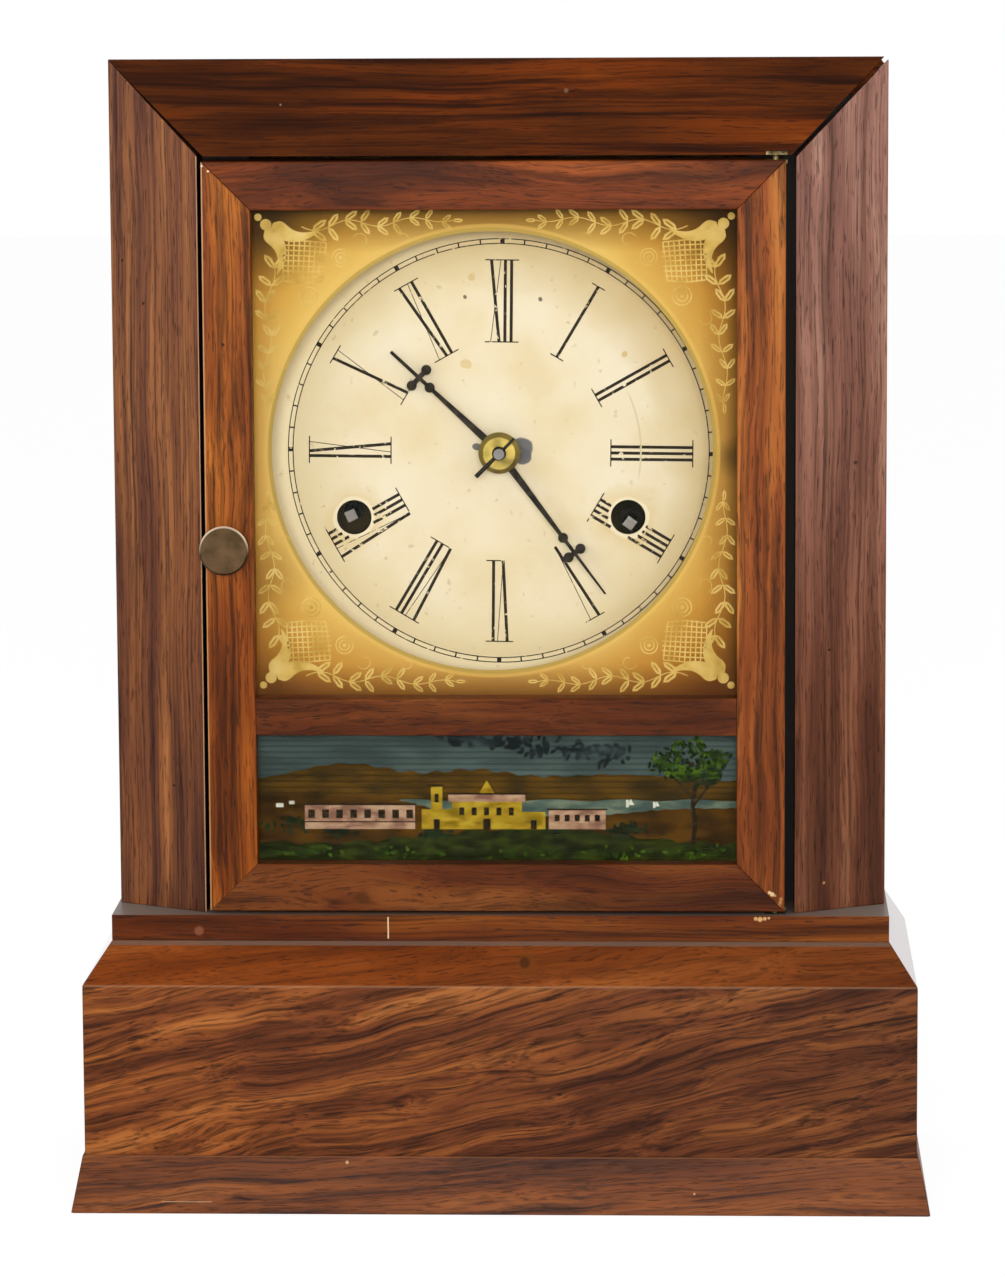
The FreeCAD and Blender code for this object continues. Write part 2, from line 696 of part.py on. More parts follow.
def arbor(place, radius):
    """An arbor between the plates, with a thinner pivot at each end."""
    return [rod(place, radius, y_plate_inner + END_SHAKE, y_back_plate - END_SHAKE),
            rod(place, PIVOT_RADIUS, y_front_plate, y_back_plate_rear)]


def mesh_distance(teeth, pins, module):
    return (teeth + pins) * module / 2


centre = (0, 0)
main_mesh = mesh_distance(MAIN_TEETH, COARSE_PINS, MAIN_MODULE)
second_mesh = mesh_distance(SECOND_TEETH, COARSE_PINS, SECOND_MODULE)
second_place = meeting(centre, second_mesh, TIME_ARBOR, main_mesh)
third_place = meeting(ESCAPE_ARBOR, mesh_distance(THIRD_TEETH, FINE_PINS, THIRD_MODULE),
                      centre, mesh_distance(CENTRE_TEETH, FINE_PINS, CENTRE_MODULE))
verge_place = (ESCAPE_ARBOR[0], ESCAPE_ARBOR[1] + VERGE_ABOVE_ESCAPE)
strike_second_place = polar(STRIKE_ARBOR, main_mesh, STRIKE_SECOND_ANGLE)
strike_third_place = polar(strike_second_place, second_mesh, STRIKE_THIRD_ANGLE)
fly_mesh = mesh_distance(STRIKE_THIRD_TEETH, FINE_PINS, STRIKE_THIRD_MODULE)
fly_place = polar(strike_third_place, fly_mesh, FLY_ANGLE)
motion_distance = mesh_distance(HOUR_TEETH, MOTION_PINS, HOUR_MODULE)
motion_place = polar(centre, motion_distance, MOTION_ANGLE)
motion_module = 2 * motion_distance / (MOTION_TEETH + MOTION_PINS)
y_escape = y_plate_inner + ESCAPE_WHEEL_DEPTH
y_third = y_plate_inner + THIRD_WHEEL_DEPTH
y_centre = y_plate_inner + CENTRE_WHEEL_DEPTH
y_second = y_plate_inner + SECOND_WHEEL_DEPTH
y_main = y_plate_inner + MAIN_WHEEL_DEPTH
y_motion = y_front_plate - MOTION_WHEEL_STANDOFF
y_hour = y_front_plate - HOUR_WHEEL_STANDOFF

# Train wheels: each arbor carries a spoked wheel and the lantern pinion by which the wheel before it turns it
time_second = wheel(second_place, SECOND_TEETH, SECOND_MODULE, centre, y_second, WHEEL_SHEET)
nodes["time_second_wheel"] = fuse(
    time_second, *arbor(second_place, COARSE_ARBOR_RADIUS),
    *lantern(second_place, COARSE_PINS, MAIN_MODULE, TIME_ARBOR, y_main, MAIN_WHEEL_SHEET))
time_third = wheel(third_place, THIRD_TEETH, THIRD_MODULE, ESCAPE_ARBOR, y_third, WHEEL_SHEET)
nodes["time_third_wheel"] = fuse(
    time_third, *arbor(third_place, FINE_ARBOR_RADIUS),
    *lantern(third_place, FINE_PINS, CENTRE_MODULE, centre, y_centre, WHEEL_SHEET))
strike_second = wheel(strike_second_place, SECOND_TEETH, SECOND_MODULE, strike_third_place, y_second,
                      WHEEL_SHEET)
nodes["strike_second_wheel"] = fuse(
    strike_second, *arbor(strike_second_place, COARSE_ARBOR_RADIUS),
    *lantern(strike_second_place, COARSE_PINS, MAIN_MODULE, STRIKE_ARBOR, y_main, MAIN_WHEEL_SHEET))
strike_third = wheel(strike_third_place, STRIKE_THIRD_TEETH, STRIKE_THIRD_MODULE, fly_place, y_centre,
                     WHEEL_SHEET)
nodes["strike_third_wheel"] = fuse(
    strike_third, *arbor(strike_third_place, COARSE_ARBOR_RADIUS),
    *lantern(strike_third_place, COARSE_PINS, SECOND_MODULE, strike_second_place, y_second, WHEEL_SHEET))

# Centre arbor: it runs through front plate and dial, and carries the cannon pinion and the minute hand
y_hour_hand = y_dial - HOUR_HAND_CLEAR_OF_DIAL - HAND_THICKNESS
y_minute_hand = y_hour_hand - HAND_SPACING - HAND_THICKNESS
y_collet = y_minute_hand - COLLET_THICKNESS
y_taper_pin = y_collet - TAPER_PIN_RADII[0]
y_arbor_end = y_taper_pin - CENTRE_ARBOR_END
pin_start = at(polar(centre, -TAPER_PIN_REACH[0], TAPER_PIN_ANGLE), y_taper_pin)
pin_finish = at(polar(centre, TAPER_PIN_REACH[1], TAPER_PIN_ANGLE), y_taper_pin)
taper_pin = Part.makeCone(*TAPER_PIN_RADII, sum(TAPER_PIN_REACH), pin_start, pin_finish - pin_start)
centre_wheel = fuse(wheel(centre, CENTRE_TEETH, CENTRE_MODULE, third_place, y_centre, WHEEL_SHEET),
                    rod(centre, CENTRE_ARBOR_RADIUS, y_arbor_end, y_back_plate - END_SHAKE),
                    rod(centre, PIVOT_RADIUS, y_back_plate - END_SHAKE, y_back_plate_rear),
                    *lantern(centre, COARSE_PINS, SECOND_MODULE, second_place, y_second, WHEEL_SHEET),
                    *lantern(centre, MOTION_PINS, motion_module, motion_place, y_motion, WHEEL_SHEET))
nodes["centre_wheel"] = cut(centre_wheel, taper_pin)
arbor_seat = rod(centre, CENTRE_ARBOR_RADIUS, y_arbor_end, y_dial)
collet = Part.makeCone(COLLET_RADIUS - COLLET_THICKNESS, COLLET_RADIUS, COLLET_THICKNESS,
                       at(centre, y_collet), Vector(0, 1, 0))
nodes["hand_collet"] = Part.makeCompound([cut(collet, arbor_seat), taper_pin])


# Hands: a blade that narrows to a bulb, a cross with two dots, a point and a round hub
def hand(angle, length, tip_width, bulb_at, cross_at, spread, y):
    lean = 90 - angle
    stations = [(HAND_HUB_RADIUS / 2, HAND_ROOT_WIDTH), (bulb_at, HAND_NECK_WIDTH), (length, tip_width)]
    left = [polar(polar(centre, reach, lean), width / 2, lean + 90) for reach, width in stations]
    right = [polar(polar(centre, reach, lean), -width / 2, lean + 90) for reach, width in stations]
    crossing = polar(centre, cross_at, lean)
    dots = [polar(crossing, side * spread, lean + 90) for side in (-1, 1)]
    pieces = [bar(*dots, HAND_CROSS_WIDTH, y, HAND_THICKNESS),
              rod(centre, HAND_HUB_RADIUS, y, y + HAND_THICKNESS)]
    for place in dots + [polar(centre, bulb_at, lean)]:
        pieces.append(rod(place, HAND_DOT_RADIUS, y, y + HAND_THICKNESS))
    return fuse(plan(left + right[::-1], y, HAND_THICKNESS), *pieces)


minute_hand = hand(MINUTE_HAND_ANGLE, MINUTE_HAND_LENGTH, MINUTE_HAND_TIP_WIDTH,
                   MINUTE_HAND_BULB, MINUTE_HAND_CROSS, MINUTE_HAND_SPREAD, y_minute_hand)
hour_hand = hand(HOUR_HAND_ANGLE, HOUR_HAND_LENGTH, HOUR_HAND_TIP_WIDTH,
                 HOUR_HAND_BULB, HOUR_HAND_CROSS, HOUR_HAND_SPREAD, y_hour_hand)
hour_pipe = rod(centre, HOUR_PIPE_RADIUS, y_hour_hand - END_SHAKE, y_hour + WHEEL_SHEET)
nodes["minute_hand"] = cut(minute_hand, arbor_seat)
nodes["hour_hand"] = cut(hour_hand, hour_pipe)

# Motion work in front of the front plate: hour wheel with its pipe, and the motion wheel on a stud
hour_wheel = fuse(wheel(centre, HOUR_TEETH, HOUR_MODULE, motion_place, y_hour, WHEEL_SHEET), hour_pipe)
hour_bore = rod(centre, CENTRE_ARBOR_RADIUS + RUNNING_CLEARANCE, y_arbor_end, y_front_plate)
nodes["hour_wheel"] = cut(hour_wheel, hour_bore)
motion_front = y_hour - PINION_SIDE_CLEARANCE - SHROUD
motion_wheel = fuse(wheel(motion_place, MOTION_TEETH, motion_module, centre, y_motion, WHEEL_SHEET),
                    rod(motion_place, MOTION_PIPE_RADIUS, motion_front, y_front_plate - END_SHAKE),
                    *lantern(motion_place, MOTION_PINS, HOUR_MODULE, centre, y_hour, WHEEL_SHEET))
motion_bore = rod(motion_place, MOTION_STUD_RADIUS + RUNNING_CLEARANCE, motion_front, y_front_plate)
nodes["motion_wheel"] = cut(motion_wheel, motion_bore)
motion_stud = rod(motion_place, MOTION_STUD_RADIUS, motion_front - END_SHAKE, y_front_plate)


# Winding works: main wheel with its click, and the winding arbor with ratchet and key square
def saw_disc(place, radius, depth, teeth, y, thickness):
    """A disc with raked teeth, as on a ratchet or an escape wheel."""
    outline = []
    for i in range(teeth):
        start = 360 / teeth * i
        outline.append(polar(place, radius - depth, start))
        outline.append(polar(place, radius, start + 180 / teeth))
        outline.append(polar(place, radius, start + 240 / teeth))
    return plan(outline, y, thickness)


y_ratchet = y_main - RATCHET_CLEARANCE - RATCHET_SHEET
winding_bore = WINDING_ARBOR_RADIUS + RUNNING_CLEARANCE


def main_wheel(place, mate):
    disc = wheel(place, MAIN_TEETH, MAIN_MODULE, mate, y_main, MAIN_WHEEL_SHEET, spoked=False)
    away = heading(place, mate) + 180
    pivot = polar(place, CLICK_REACH, away)
    nose = polar(place, RATCHET_RADIUS + CLICK_NOSE_CLEARANCE + CLICK_WIDTH / 2, away + CLICK_LEAD)
    click = fuse(bar(pivot, nose, CLICK_WIDTH, y_ratchet, RATCHET_SHEET),
                 rod(pivot, CLICK_PIVOT_RADIUS, y_ratchet, y_main),
                 rod(nose, CLICK_WIDTH / 2, y_ratchet, y_ratchet + RATCHET_SHEET))
    return Part.makeCompound([cut(disc, rod(place, winding_bore, y_main, y_main + MAIN_WHEEL_SHEET)), click])


def winding_arbor(place, turn):
    y_square = y_dial_back + WINDING_SQUARE_BEHIND_DIAL
    y_shoulder = y_front_plate - PLATE_SHEET
    corners = [polar(place, WINDING_SQUARE / math.sqrt(2), turn + 45 + 90 * i) for i in range(4)]
    return fuse(rod(place, WINDING_ARBOR_RADIUS, y_shoulder, y_back_plate - END_SHAKE),
                rod(place, WINDING_PIVOT_RADIUS, y_back_plate - END_SHAKE, y_back_plate_rear),
                plan(corners, y_square, y_shoulder - y_square),
                saw_disc(place, RATCHET_RADIUS, RATCHET_DEPTH, RATCHET_TEETH, y_ratchet, RATCHET_SHEET))


nodes["time_main_wheel"] = main_wheel(TIME_ARBOR, second_place)
nodes["strike_main_wheel"] = main_wheel(STRIKE_ARBOR, strike_second_place)
nodes["time_winding_arbor"] = winding_arbor(TIME_ARBOR, TIME_SQUARE_TURN)
nodes["strike_winding_arbor"] = winding_arbor(STRIKE_ARBOR, STRIKE_SQUARE_TURN)


# Spirals of half turns: their centres change between two places half a pitch apart
def spiral_arcs(place, first_radius, pitch, turns, y):
    arcs = []
    for i in range(turns):
        radius = first_radius + pitch * i
        arcs.append(arc_edge(place, radius, 0, 180, y))
        arcs.append(arc_edge((place[0] + pitch / 2, place[1]), radius + pitch / 2, 180, 360, y))
    return arcs


def mainspring(place):
    """A flat strip wound round the winding arbor, between the main wheel and the back plate."""
    y0 = y_main + MAIN_WHEEL_SHEET + SPRING_CLEARANCE
    inner_radius = WINDING_ARBOR_RADIUS + SPRING_ARBOR_CLEARANCE
    inner = spiral_arcs(place, inner_radius, SPRING_PITCH, SPRING_TURNS, y0)
    outer = spiral_arcs(place, inner_radius + SPRING_STRIP, SPRING_PITCH, SPRING_TURNS, y0)
    ends = []
    for x in (place[0] + inner_radius, place[0] + inner_radius + SPRING_PITCH * SPRING_TURNS):
        ends.append(Part.makeLine(at((x, place[1]), y0), at((x + SPRING_STRIP, place[1]), y0)))
    outline = Part.Wire(Part.__sortEdges__(inner + outer + ends))
    return Part.Face(outline).extrude(Vector(0, y_back_plate - SPRING_CLEARANCE - y0, 0))


nodes["time_mainspring"] = mainspring(TIME_ARBOR)
nodes["strike_mainspring"] = mainspring(STRIKE_ARBOR)


# Escapement: escape wheel, and a verge whose pallets stand clear of the teeth over the whole swing
def ring_sector(place, inner, outer, start, end, y, thickness):
    edges = [arc_edge(place, outer, start, end, y),
             Part.makeLine(at(polar(place, outer, end), y), at(polar(place, inner, end), y)),
             arc_edge(place, inner, end, start, y),
             Part.makeLine(at(polar(place, inner, start), y), at(polar(place, outer, start), y))]
    return Part.Face(Part.Wire(edges)).extrude(Vector(0, thickness, 0))


escape_disc = saw_disc(ESCAPE_ARBOR, ESCAPE_RADIUS, ESCAPE_TOOTH_DEPTH, ESCAPE_TEETH, y_escape, ESCAPE_SHEET)
escape_windows = spoke_windows(ESCAPE_ARBOR, WHEEL_HUB_RADIUS, ESCAPE_RADIUS - ESCAPE_TOOTH_DEPTH - WHEEL_RIM,
                               y_escape, ESCAPE_SHEET)
nodes["escape_wheel"] = fuse(
    cut(escape_disc, *escape_windows), *arbor(ESCAPE_ARBOR, FINE_ARBOR_RADIUS),
    *lantern(ESCAPE_ARBOR, FINE_PINS, THIRD_MODULE, third_place, y_third, WHEEL_SHEET))
nib_radius = ESCAPE_RADIUS + PALLET_CLEARANCE
strip_radius = nib_radius + PALLET_NIB
nib_turn = math.degrees(PALLET_STRIP / strip_radius)
first_nib = 90 - PALLET_SPAN
last_nib = 90 + PALLET_SPAN - nib_turn
y_crutch = y_front_plate - CRUTCH_STANDOFF
y_rod = y_front_plate - PENDULUM_STANDOFF
crutch_foot = at((verge_place[0], verge_place[1] - CRUTCH_LENGTH), y_crutch)
loop_hole = ROD_RADIUS + PENDULUM_CLEARANCE
loop_half = loop_hole + CRUTCH_LOOP_WALL
loop_heights = (crutch_foot.z - CRUTCH_WIRE_RADIUS, crutch_foot.z + CRUTCH_WIRE_RADIUS)
crutch_loop = cut(box(crutch_foot.x - loop_half, crutch_foot.x + loop_half, y_rod - loop_half,
                      y_crutch + CRUTCH_WIRE_RADIUS, *loop_heights),
                  box(crutch_foot.x - loop_hole, crutch_foot.x + loop_hole, y_rod - loop_hole,
                      y_rod + loop_hole, *loop_heights))
strip_middle = (verge_place[0], ESCAPE_ARBOR[1] + strip_radius)
verge_pieces = [
    bar(strip_middle, verge_place, 2 * PALLET_STRIP, y_escape, ESCAPE_SHEET),
    rod(verge_place, VERGE_BOSS_RADIUS, y_escape, y_escape + 2 * ESCAPE_SHEET),
    rod(verge_place, FINE_ARBOR_RADIUS, y_crutch - CRUTCH_WIRE_RADIUS, y_back_plate - END_SHAKE),
    rod(verge_place, PIVOT_RADIUS, y_back_plate - END_SHAKE, y_back_plate_rear),
    Part.makeCylinder(CRUTCH_WIRE_RADIUS, CRUTCH_LENGTH, crutch_foot),
    crutch_loop]
for start in (first_nib, last_nib):
    nib = ring_sector(ESCAPE_ARBOR, nib_radius, strip_radius, start, start + nib_turn, y_escape, ESCAPE_SHEET)
    verge_pieces.append(nib)
pallet_strip = ring_sector(ESCAPE_ARBOR, strip_radius, strip_radius + PALLET_STRIP, first_nib,
                           last_nib + nib_turn, y_escape, ESCAPE_SHEET)
nodes["verge"] = fuse(pallet_strip, *verge_pieces)

# Pendulum on its suspension spring, which hangs in the slit of a post on the front plate
suspension_place = (verge_place[0], verge_place[1] + SUSPENSION_ABOVE_VERGE)
swing_axis = at(suspension_place, y_rod)
strip_x, strip_y, strip_z = SUSPENSION_STRIP
strip_top = swing_axis.z + SUSPENSION_STRIP_RISE
strip_foot = strip_top - strip_z
slit_x = strip_x / 2 + SUSPENSION_SLIT_CLEARANCE
slit_y = strip_y / 2 + PENDULUM_CLEARANCE
post = rod(suspension_place, SUSPENSION_POST_RADIUS, y_rod - slit_y - SUSPENSION_POST_WALL, y_front_plate)
slit = box(swing_axis.x - slit_x, swing_axis.x + slit_x, y_rod - slit_y, y_rod + slit_y,
           swing_axis.z - SUSPENSION_POST_RADIUS, strip_top + PENDULUM_CLEARANCE)
nodes["suspension_post"] = cut(post, slit)
clamp_x, clamp_y, clamp_z = ROD_CLAMP
bob_z = swing_axis.z - PENDULUM_LENGTH
nut_top = bob_z - BOB_RADIUS
rod_end = nut_top - RATING_NUT - ROD_TAIL
pendulum_wire = Part.makeCylinder(ROD_RADIUS, strip_foot - rod_end, Vector(swing_axis.x, y_rod, rod_end))
pendulum_rod = fuse(
    box(swing_axis.x - strip_x / 2, swing_axis.x + strip_x / 2, y_rod - strip_y / 2, y_rod + strip_y / 2,
        strip_foot, strip_top),
    box(swing_axis.x - clamp_x / 2, swing_axis.x + clamp_x / 2, y_rod - clamp_y / 2, y_rod + clamp_y / 2,
        strip_foot - clamp_z / 2, strip_foot + clamp_z / 2),
    pendulum_wire)
rating_nut = Part.makeCylinder(RATING_NUT_RADIUS, RATING_NUT,
                               Vector(swing_axis.x, y_rod, nut_top - RATING_NUT))
nodes["pendulum_rod"] = Part.makeCompound([pendulum_rod, cut(rating_nut, pendulum_wire)])


def bob_point(radius, depth):
    return Vector(swing_axis.x + radius, y_rod + depth, bob_z)


def bob_cheek(side):
    """One domed face of the bob, from its middle to its edge."""
    depth_at_half = (BOB_EDGE + 3 * BOB_THICKNESS) / 8
    return Part.Arc(bob_point(0, side * BOB_THICKNESS / 2), bob_point(BOB_RADIUS / 2, side * depth_at_half),
                    bob_point(BOB_RADIUS, side * BOB_EDGE / 2)).toShape()


bob_rim = Part.makeLine(bob_point(BOB_RADIUS, -BOB_EDGE / 2), bob_point(BOB_RADIUS, BOB_EDGE / 2))
bob_core = Part.makeLine(bob_point(0, BOB_THICKNESS / 2), bob_point(0, -BOB_THICKNESS / 2))
bob_outline = Part.Wire(Part.__sortEdges__([bob_cheek(-1), bob_rim, bob_cheek(1), bob_core]))
bob = Part.Face(bob_outline).revolve(bob_point(0, 0), Vector(0, 1, 0), 360)
nodes["pendulum_bob"] = cut(bob, pendulum_wire)

# Fly of the strike train, and the hammer on its own arbor
fly_back = y_back_plate - SPRING_CLEARANCE
fly_front = fly_back - FLY_LENGTH
fly_vane = bar(polar(fly_place, FLY_RADIUS, 0), polar(fly_place, FLY_RADIUS, 180), FLY_SHEET, fly_front,
               FLY_LENGTH)
nodes["fly"] = fuse(
    fly_vane, rod(fly_place, FLY_HUB_RADIUS, fly_front, fly_back), *arbor(fly_place, FINE_ARBOR_RADIUS),
    *lantern(fly_place, FINE_PINS, STRIKE_THIRD_MODULE, strike_third_place, y_centre, WHEEL_SHEET))
y_hammer = y_back_plate_rear + HAMMER_BEHIND_PLATE
head_radius, head_length = HAMMER_HEAD
head_place = (HAMMER_ARBOR[0] + HAMMER_FALL[0], HAMMER_ARBOR[1] + HAMMER_FALL[1])
arm_top = at(HAMMER_ARBOR, y_hammer)
arm = at(head_place, y_hammer) - arm_top
tail_root = at(HAMMER_ARBOR, y_centre)
tail = at(polar(HAMMER_ARBOR, HAMMER_TAIL, HAMMER_TAIL_ANGLE), y_centre) - tail_root
head_end = at((head_place[0] - head_length / 2, head_place[1]), y_hammer)
hammer_head = Part.makeCylinder(head_radius, head_length, head_end, Vector(1, 0, 0))
nodes["hammer"] = fuse(
    hammer_head,
    rod(HAMMER_ARBOR, COARSE_ARBOR_RADIUS, y_plate_inner + END_SHAKE, y_hammer + HAMMER_WIRE_RADIUS),
    rod(HAMMER_ARBOR, PIVOT_RADIUS, y_front_plate, y_plate_inner + END_SHAKE),
    Part.makeCylinder(HAMMER_WIRE_RADIUS, arm.Length, arm_top, arm),
    Part.makeCylinder(HAMMER_WIRE_RADIUS, tail.Length, tail_root, tail))

# Gong: one wire wound in a flat spiral, whose inner end stands on the foot of its post
gong_start = (GONG_PLACE[0] + GONG_INNER_RADIUS, GONG_PLACE[1])
gong_foot = (gong_start[0], gong_start[1] - 2 * GONG_WIRE_RADIUS)
gong_arcs = spiral_arcs(GONG_PLACE, GONG_INNER_RADIUS, GONG_PITCH, GONG_TURNS, y_hammer)
gong_path = Part.Wire([Part.makeLine(at(gong_foot, y_hammer), at(gong_start, y_hammer))] + gong_arcs)
gong_section = Part.Wire(Part.makeCircle(GONG_WIRE_RADIUS, at(gong_foot, y_hammer), Vector(0, 0, 1)))
nodes["gong_coil"] = gong_path.makePipeShell([gong_section], True, False)
block_x, block_z = GONG_BLOCK
block_top = at(gong_foot, y_hammer)
gong_block = box(block_top.x - block_x / 2, block_top.x + block_x / 2, y_hammer - GONG_BLOCK_FRONT,
                 y_back_board, block_top.z - block_z, block_top.z)
gong_flange = rod((gong_foot[0], gong_foot[1] - block_z / 2), GONG_FLANGE_RADIUS, y_back_board - GONG_FLANGE,
                  y_back_board)
nodes["gong_post"] = fuse(gong_flange, gong_block)

coil_points = []
for arc in gong_arcs:
    coil_points.extend(arc.discretize(GONG_GAP_SAMPLES))
turn_gaps = []
for i, first in enumerate(coil_points):
    for second in coil_points[i + GONG_GAP_SAMPLES:]:
        turn_gaps.append(first.distanceToPoint(second) - 2 * GONG_WIRE_RADIUS)
print("least gap between the gong's turns:", round(min(turn_gaps), 2), "mm")

# Movement plates, pillars with their pins, and posts to the back board
plate_outline = [(PLATE_LEFT + PLATE_CORNER, PLATE_BOTTOM), (PLATE_RIGHT - PLATE_CORNER, PLATE_BOTTOM),
                 (PLATE_RIGHT, PLATE_BOTTOM + PLATE_CORNER), (PLATE_RIGHT, PLATE_TOP - PLATE_CORNER),
                 (PLATE_RIGHT - PLATE_CORNER, PLATE_TOP), (PLATE_LEFT + PLATE_CORNER, PLATE_TOP),
                 (PLATE_LEFT, PLATE_TOP - PLATE_CORNER), (PLATE_LEFT, PLATE_BOTTOM + PLATE_CORNER)]
y_pillar_end = y_plate_inner - PILLAR_END_LENGTH
y_pillar_pin = (y_pillar_end + y_front_plate) / 2
pillars = []
pillar_pins = []
posts = []
for row in (PLATE_BOTTOM + PILLAR_MARGIN, PLATE_TOP - PILLAR_MARGIN):
    for column in (PLATE_LEFT + PILLAR_MARGIN, PLATE_RIGHT - PILLAR_MARGIN):
        pin = Part.makeCylinder(PILLAR_PIN_RADIUS, PILLAR_PIN_LENGTH,
                                at((column - PILLAR_PIN_LENGTH / 2, row), y_pillar_pin), Vector(1, 0, 0))
        pillar = fuse(rod((column, row), PILLAR_RADIUS, y_plate_inner, y_back_plate),
                      rod((column, row), PILLAR_END_RADIUS, y_pillar_end, y_back_plate_rear))
        pillars.append(cut(pillar, pin))
        pillar_pins.append(pin)
    for column in (PLATE_LEFT + POST_INSET, PLATE_RIGHT - POST_INSET):
        posts.append(fuse(rod((column, row), POST_RADIUS, y_back_plate_rear, y_back_board),
                          rod((column, row), POST_STUD_RADIUS, y_back_plate - POST_HEAD, y_back),
                          rod((column, row), POST_HEAD_RADIUS, y_back_plate - POST_HEAD, y_back_plate)))


def plate(y, holes):
    drills = [rod(place, WINDOW_RADIUS, y, y + PLATE_SHEET) for place in PLATE_WINDOWS]
    for place, radius in holes:
        drills.append(rod(place, radius + RUNNING_CLEARANCE, y, y + PLATE_SHEET))
    return cut(plan(plate_outline, y, PLATE_SHEET), *drills, *pillars)


shared_pivots = [second_place, third_place, ESCAPE_ARBOR, strike_second_place, strike_third_place, fly_place]
front_holes = [(place, PIVOT_RADIUS) for place in shared_pivots + [HAMMER_ARBOR]]
front_holes += [(TIME_ARBOR, WINDING_ARBOR_RADIUS), (STRIKE_ARBOR, WINDING_ARBOR_RADIUS)]
front_holes += [(centre, CENTRE_ARBOR_RADIUS), (verge_place, FINE_ARBOR_RADIUS)]
back_holes = [(place, PIVOT_RADIUS) for place in shared_pivots + [centre, verge_place]]
back_holes += [(TIME_ARBOR, WINDING_PIVOT_RADIUS), (STRIKE_ARBOR, WINDING_PIVOT_RADIUS)]
back_holes += [(HAMMER_ARBOR, COARSE_ARBOR_RADIUS)]
nodes["movement_front_plate"] = fuse(plate(y_front_plate, front_holes), motion_stud)
nodes["movement_back_plate"] = cut(plate(y_back_plate, back_holes), *posts)
nodes["movement_pillars"] = Part.makeCompound(pillars + pillar_pins)
nodes["movement_posts"] = Part.makeCompound(posts)
nodes["back_board"] = cut(back_board, *posts)

os.makedirs("parts", exist_ok=True)
for name, shape in nodes.items():
    shape.exportStep(os.path.join("parts", name + ".step"))
print(len(nodes), "nodes")
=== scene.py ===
import bpy
import json
import math
import random
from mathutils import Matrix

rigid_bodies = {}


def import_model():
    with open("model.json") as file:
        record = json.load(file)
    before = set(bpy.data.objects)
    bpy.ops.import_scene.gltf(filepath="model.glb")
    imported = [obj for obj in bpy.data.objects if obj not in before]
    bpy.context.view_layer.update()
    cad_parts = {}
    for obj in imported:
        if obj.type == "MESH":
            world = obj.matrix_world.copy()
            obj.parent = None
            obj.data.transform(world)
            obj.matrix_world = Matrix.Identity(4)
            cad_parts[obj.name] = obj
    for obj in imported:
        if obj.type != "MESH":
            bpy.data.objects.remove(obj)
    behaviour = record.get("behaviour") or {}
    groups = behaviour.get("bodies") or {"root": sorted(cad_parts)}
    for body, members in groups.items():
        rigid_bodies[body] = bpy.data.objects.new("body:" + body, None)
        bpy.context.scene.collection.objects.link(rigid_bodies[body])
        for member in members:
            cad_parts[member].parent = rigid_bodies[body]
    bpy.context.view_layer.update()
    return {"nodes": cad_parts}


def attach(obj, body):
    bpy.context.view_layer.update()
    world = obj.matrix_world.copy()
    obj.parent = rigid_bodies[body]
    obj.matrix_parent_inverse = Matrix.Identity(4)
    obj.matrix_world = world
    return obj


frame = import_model()
nodes = frame["nodes"]

# Base: three pine panels, bevelled along the top and mitred at the front corners, faced with figured rosewood
# veneer and varnished, thickest on the side bevels. A plainer, more orange sheet covers the bevel, and flared
# foot mouldings are glued round it.
BASE_BEVEL_Z = 68.5


def linear(colour):
    """Linear colour of an sRGB hex value."""
    parts = [int(colour[i:i + 2], 16) / 255 for i in (1, 3, 5)]
    return tuple(p / 12.92 if p <= 0.04045 else ((p + 0.055) / 1.055) ** 2.4 for p in parts) + (1.0,)


def add(tree, kind, inputs=None, out=0, stops=None, **settings):
    """Adds a node with its settings, and gives one of its outputs. An input is a value, or an output that is
    linked to it."""
    made = tree.nodes.new("ShaderNode" + kind)
    for name, value in settings.items():
        setattr(made, name, value)
    for socket, value in (inputs or {}).items():
        if isinstance(value, bpy.types.NodeSocket):
            tree.links.new(value, made.inputs[socket])
        else:
            made.inputs[socket].default_value = value
    if stops:
        elements = made.color_ramp.elements
        while len(elements) < len(stops):
            elements.new(0.5)
        for element, (position, colour) in zip(elements, stops):
            element.position = position
            element.color = linear(colour)
    return made.outputs[out]


def new_material(name, surface):
    """A named material with a Principled surface, and the tree that it is made in."""
    material = bpy.data.materials.new(name)
    material.use_nodes = True
    shader = material.node_tree.nodes["Principled BSDF"]
    for socket, value in surface.items():
        shader.inputs[socket].default_value = value
    return material, material.node_tree, shader


def paint(material, *names):
    """Gives CAD nodes a material."""
    for name in names:
        for slot in nodes[name].material_slots:
            slot.material = material


def ease_edges(width, *names):
    """Rounds the sharp edges of CAD nodes, as handling and varnish do."""
    for name in names:
        weld = nodes[name].modifiers.new("weld", "WELD")
        weld.merge_threshold = 0.00001
        flat = nodes[name].modifiers.new("flat faces", "DECIMATE")
        flat.decimate_type = "DISSOLVE"
        flat.angle_limit = math.radians(1)
        rounding = nodes[name].modifiers.new("eased edge", "BEVEL")
        rounding.width = width / 1000
        rounding.segments = 2
        rounding.limit_method = "ANGLE"
        rounding.angle_limit = math.radians(15)


def metres(*lengths):
    """Lengths in millimetres, in Blender's own unit."""
    return [length / 1000 for length in lengths]


def stray(tree, noise, reach, place):
    """A place that strays from the true one, as a noise's colour says, by half the reach at most."""
    noise = add(tree, "VectorMath", {0: noise, 1: (0.5, 0.5, 0.5)}, operation="SUBTRACT")
    return add(tree, "VectorMath", {0: noise, 1: reach, 2: place}, operation="MULTIPLY_ADD")


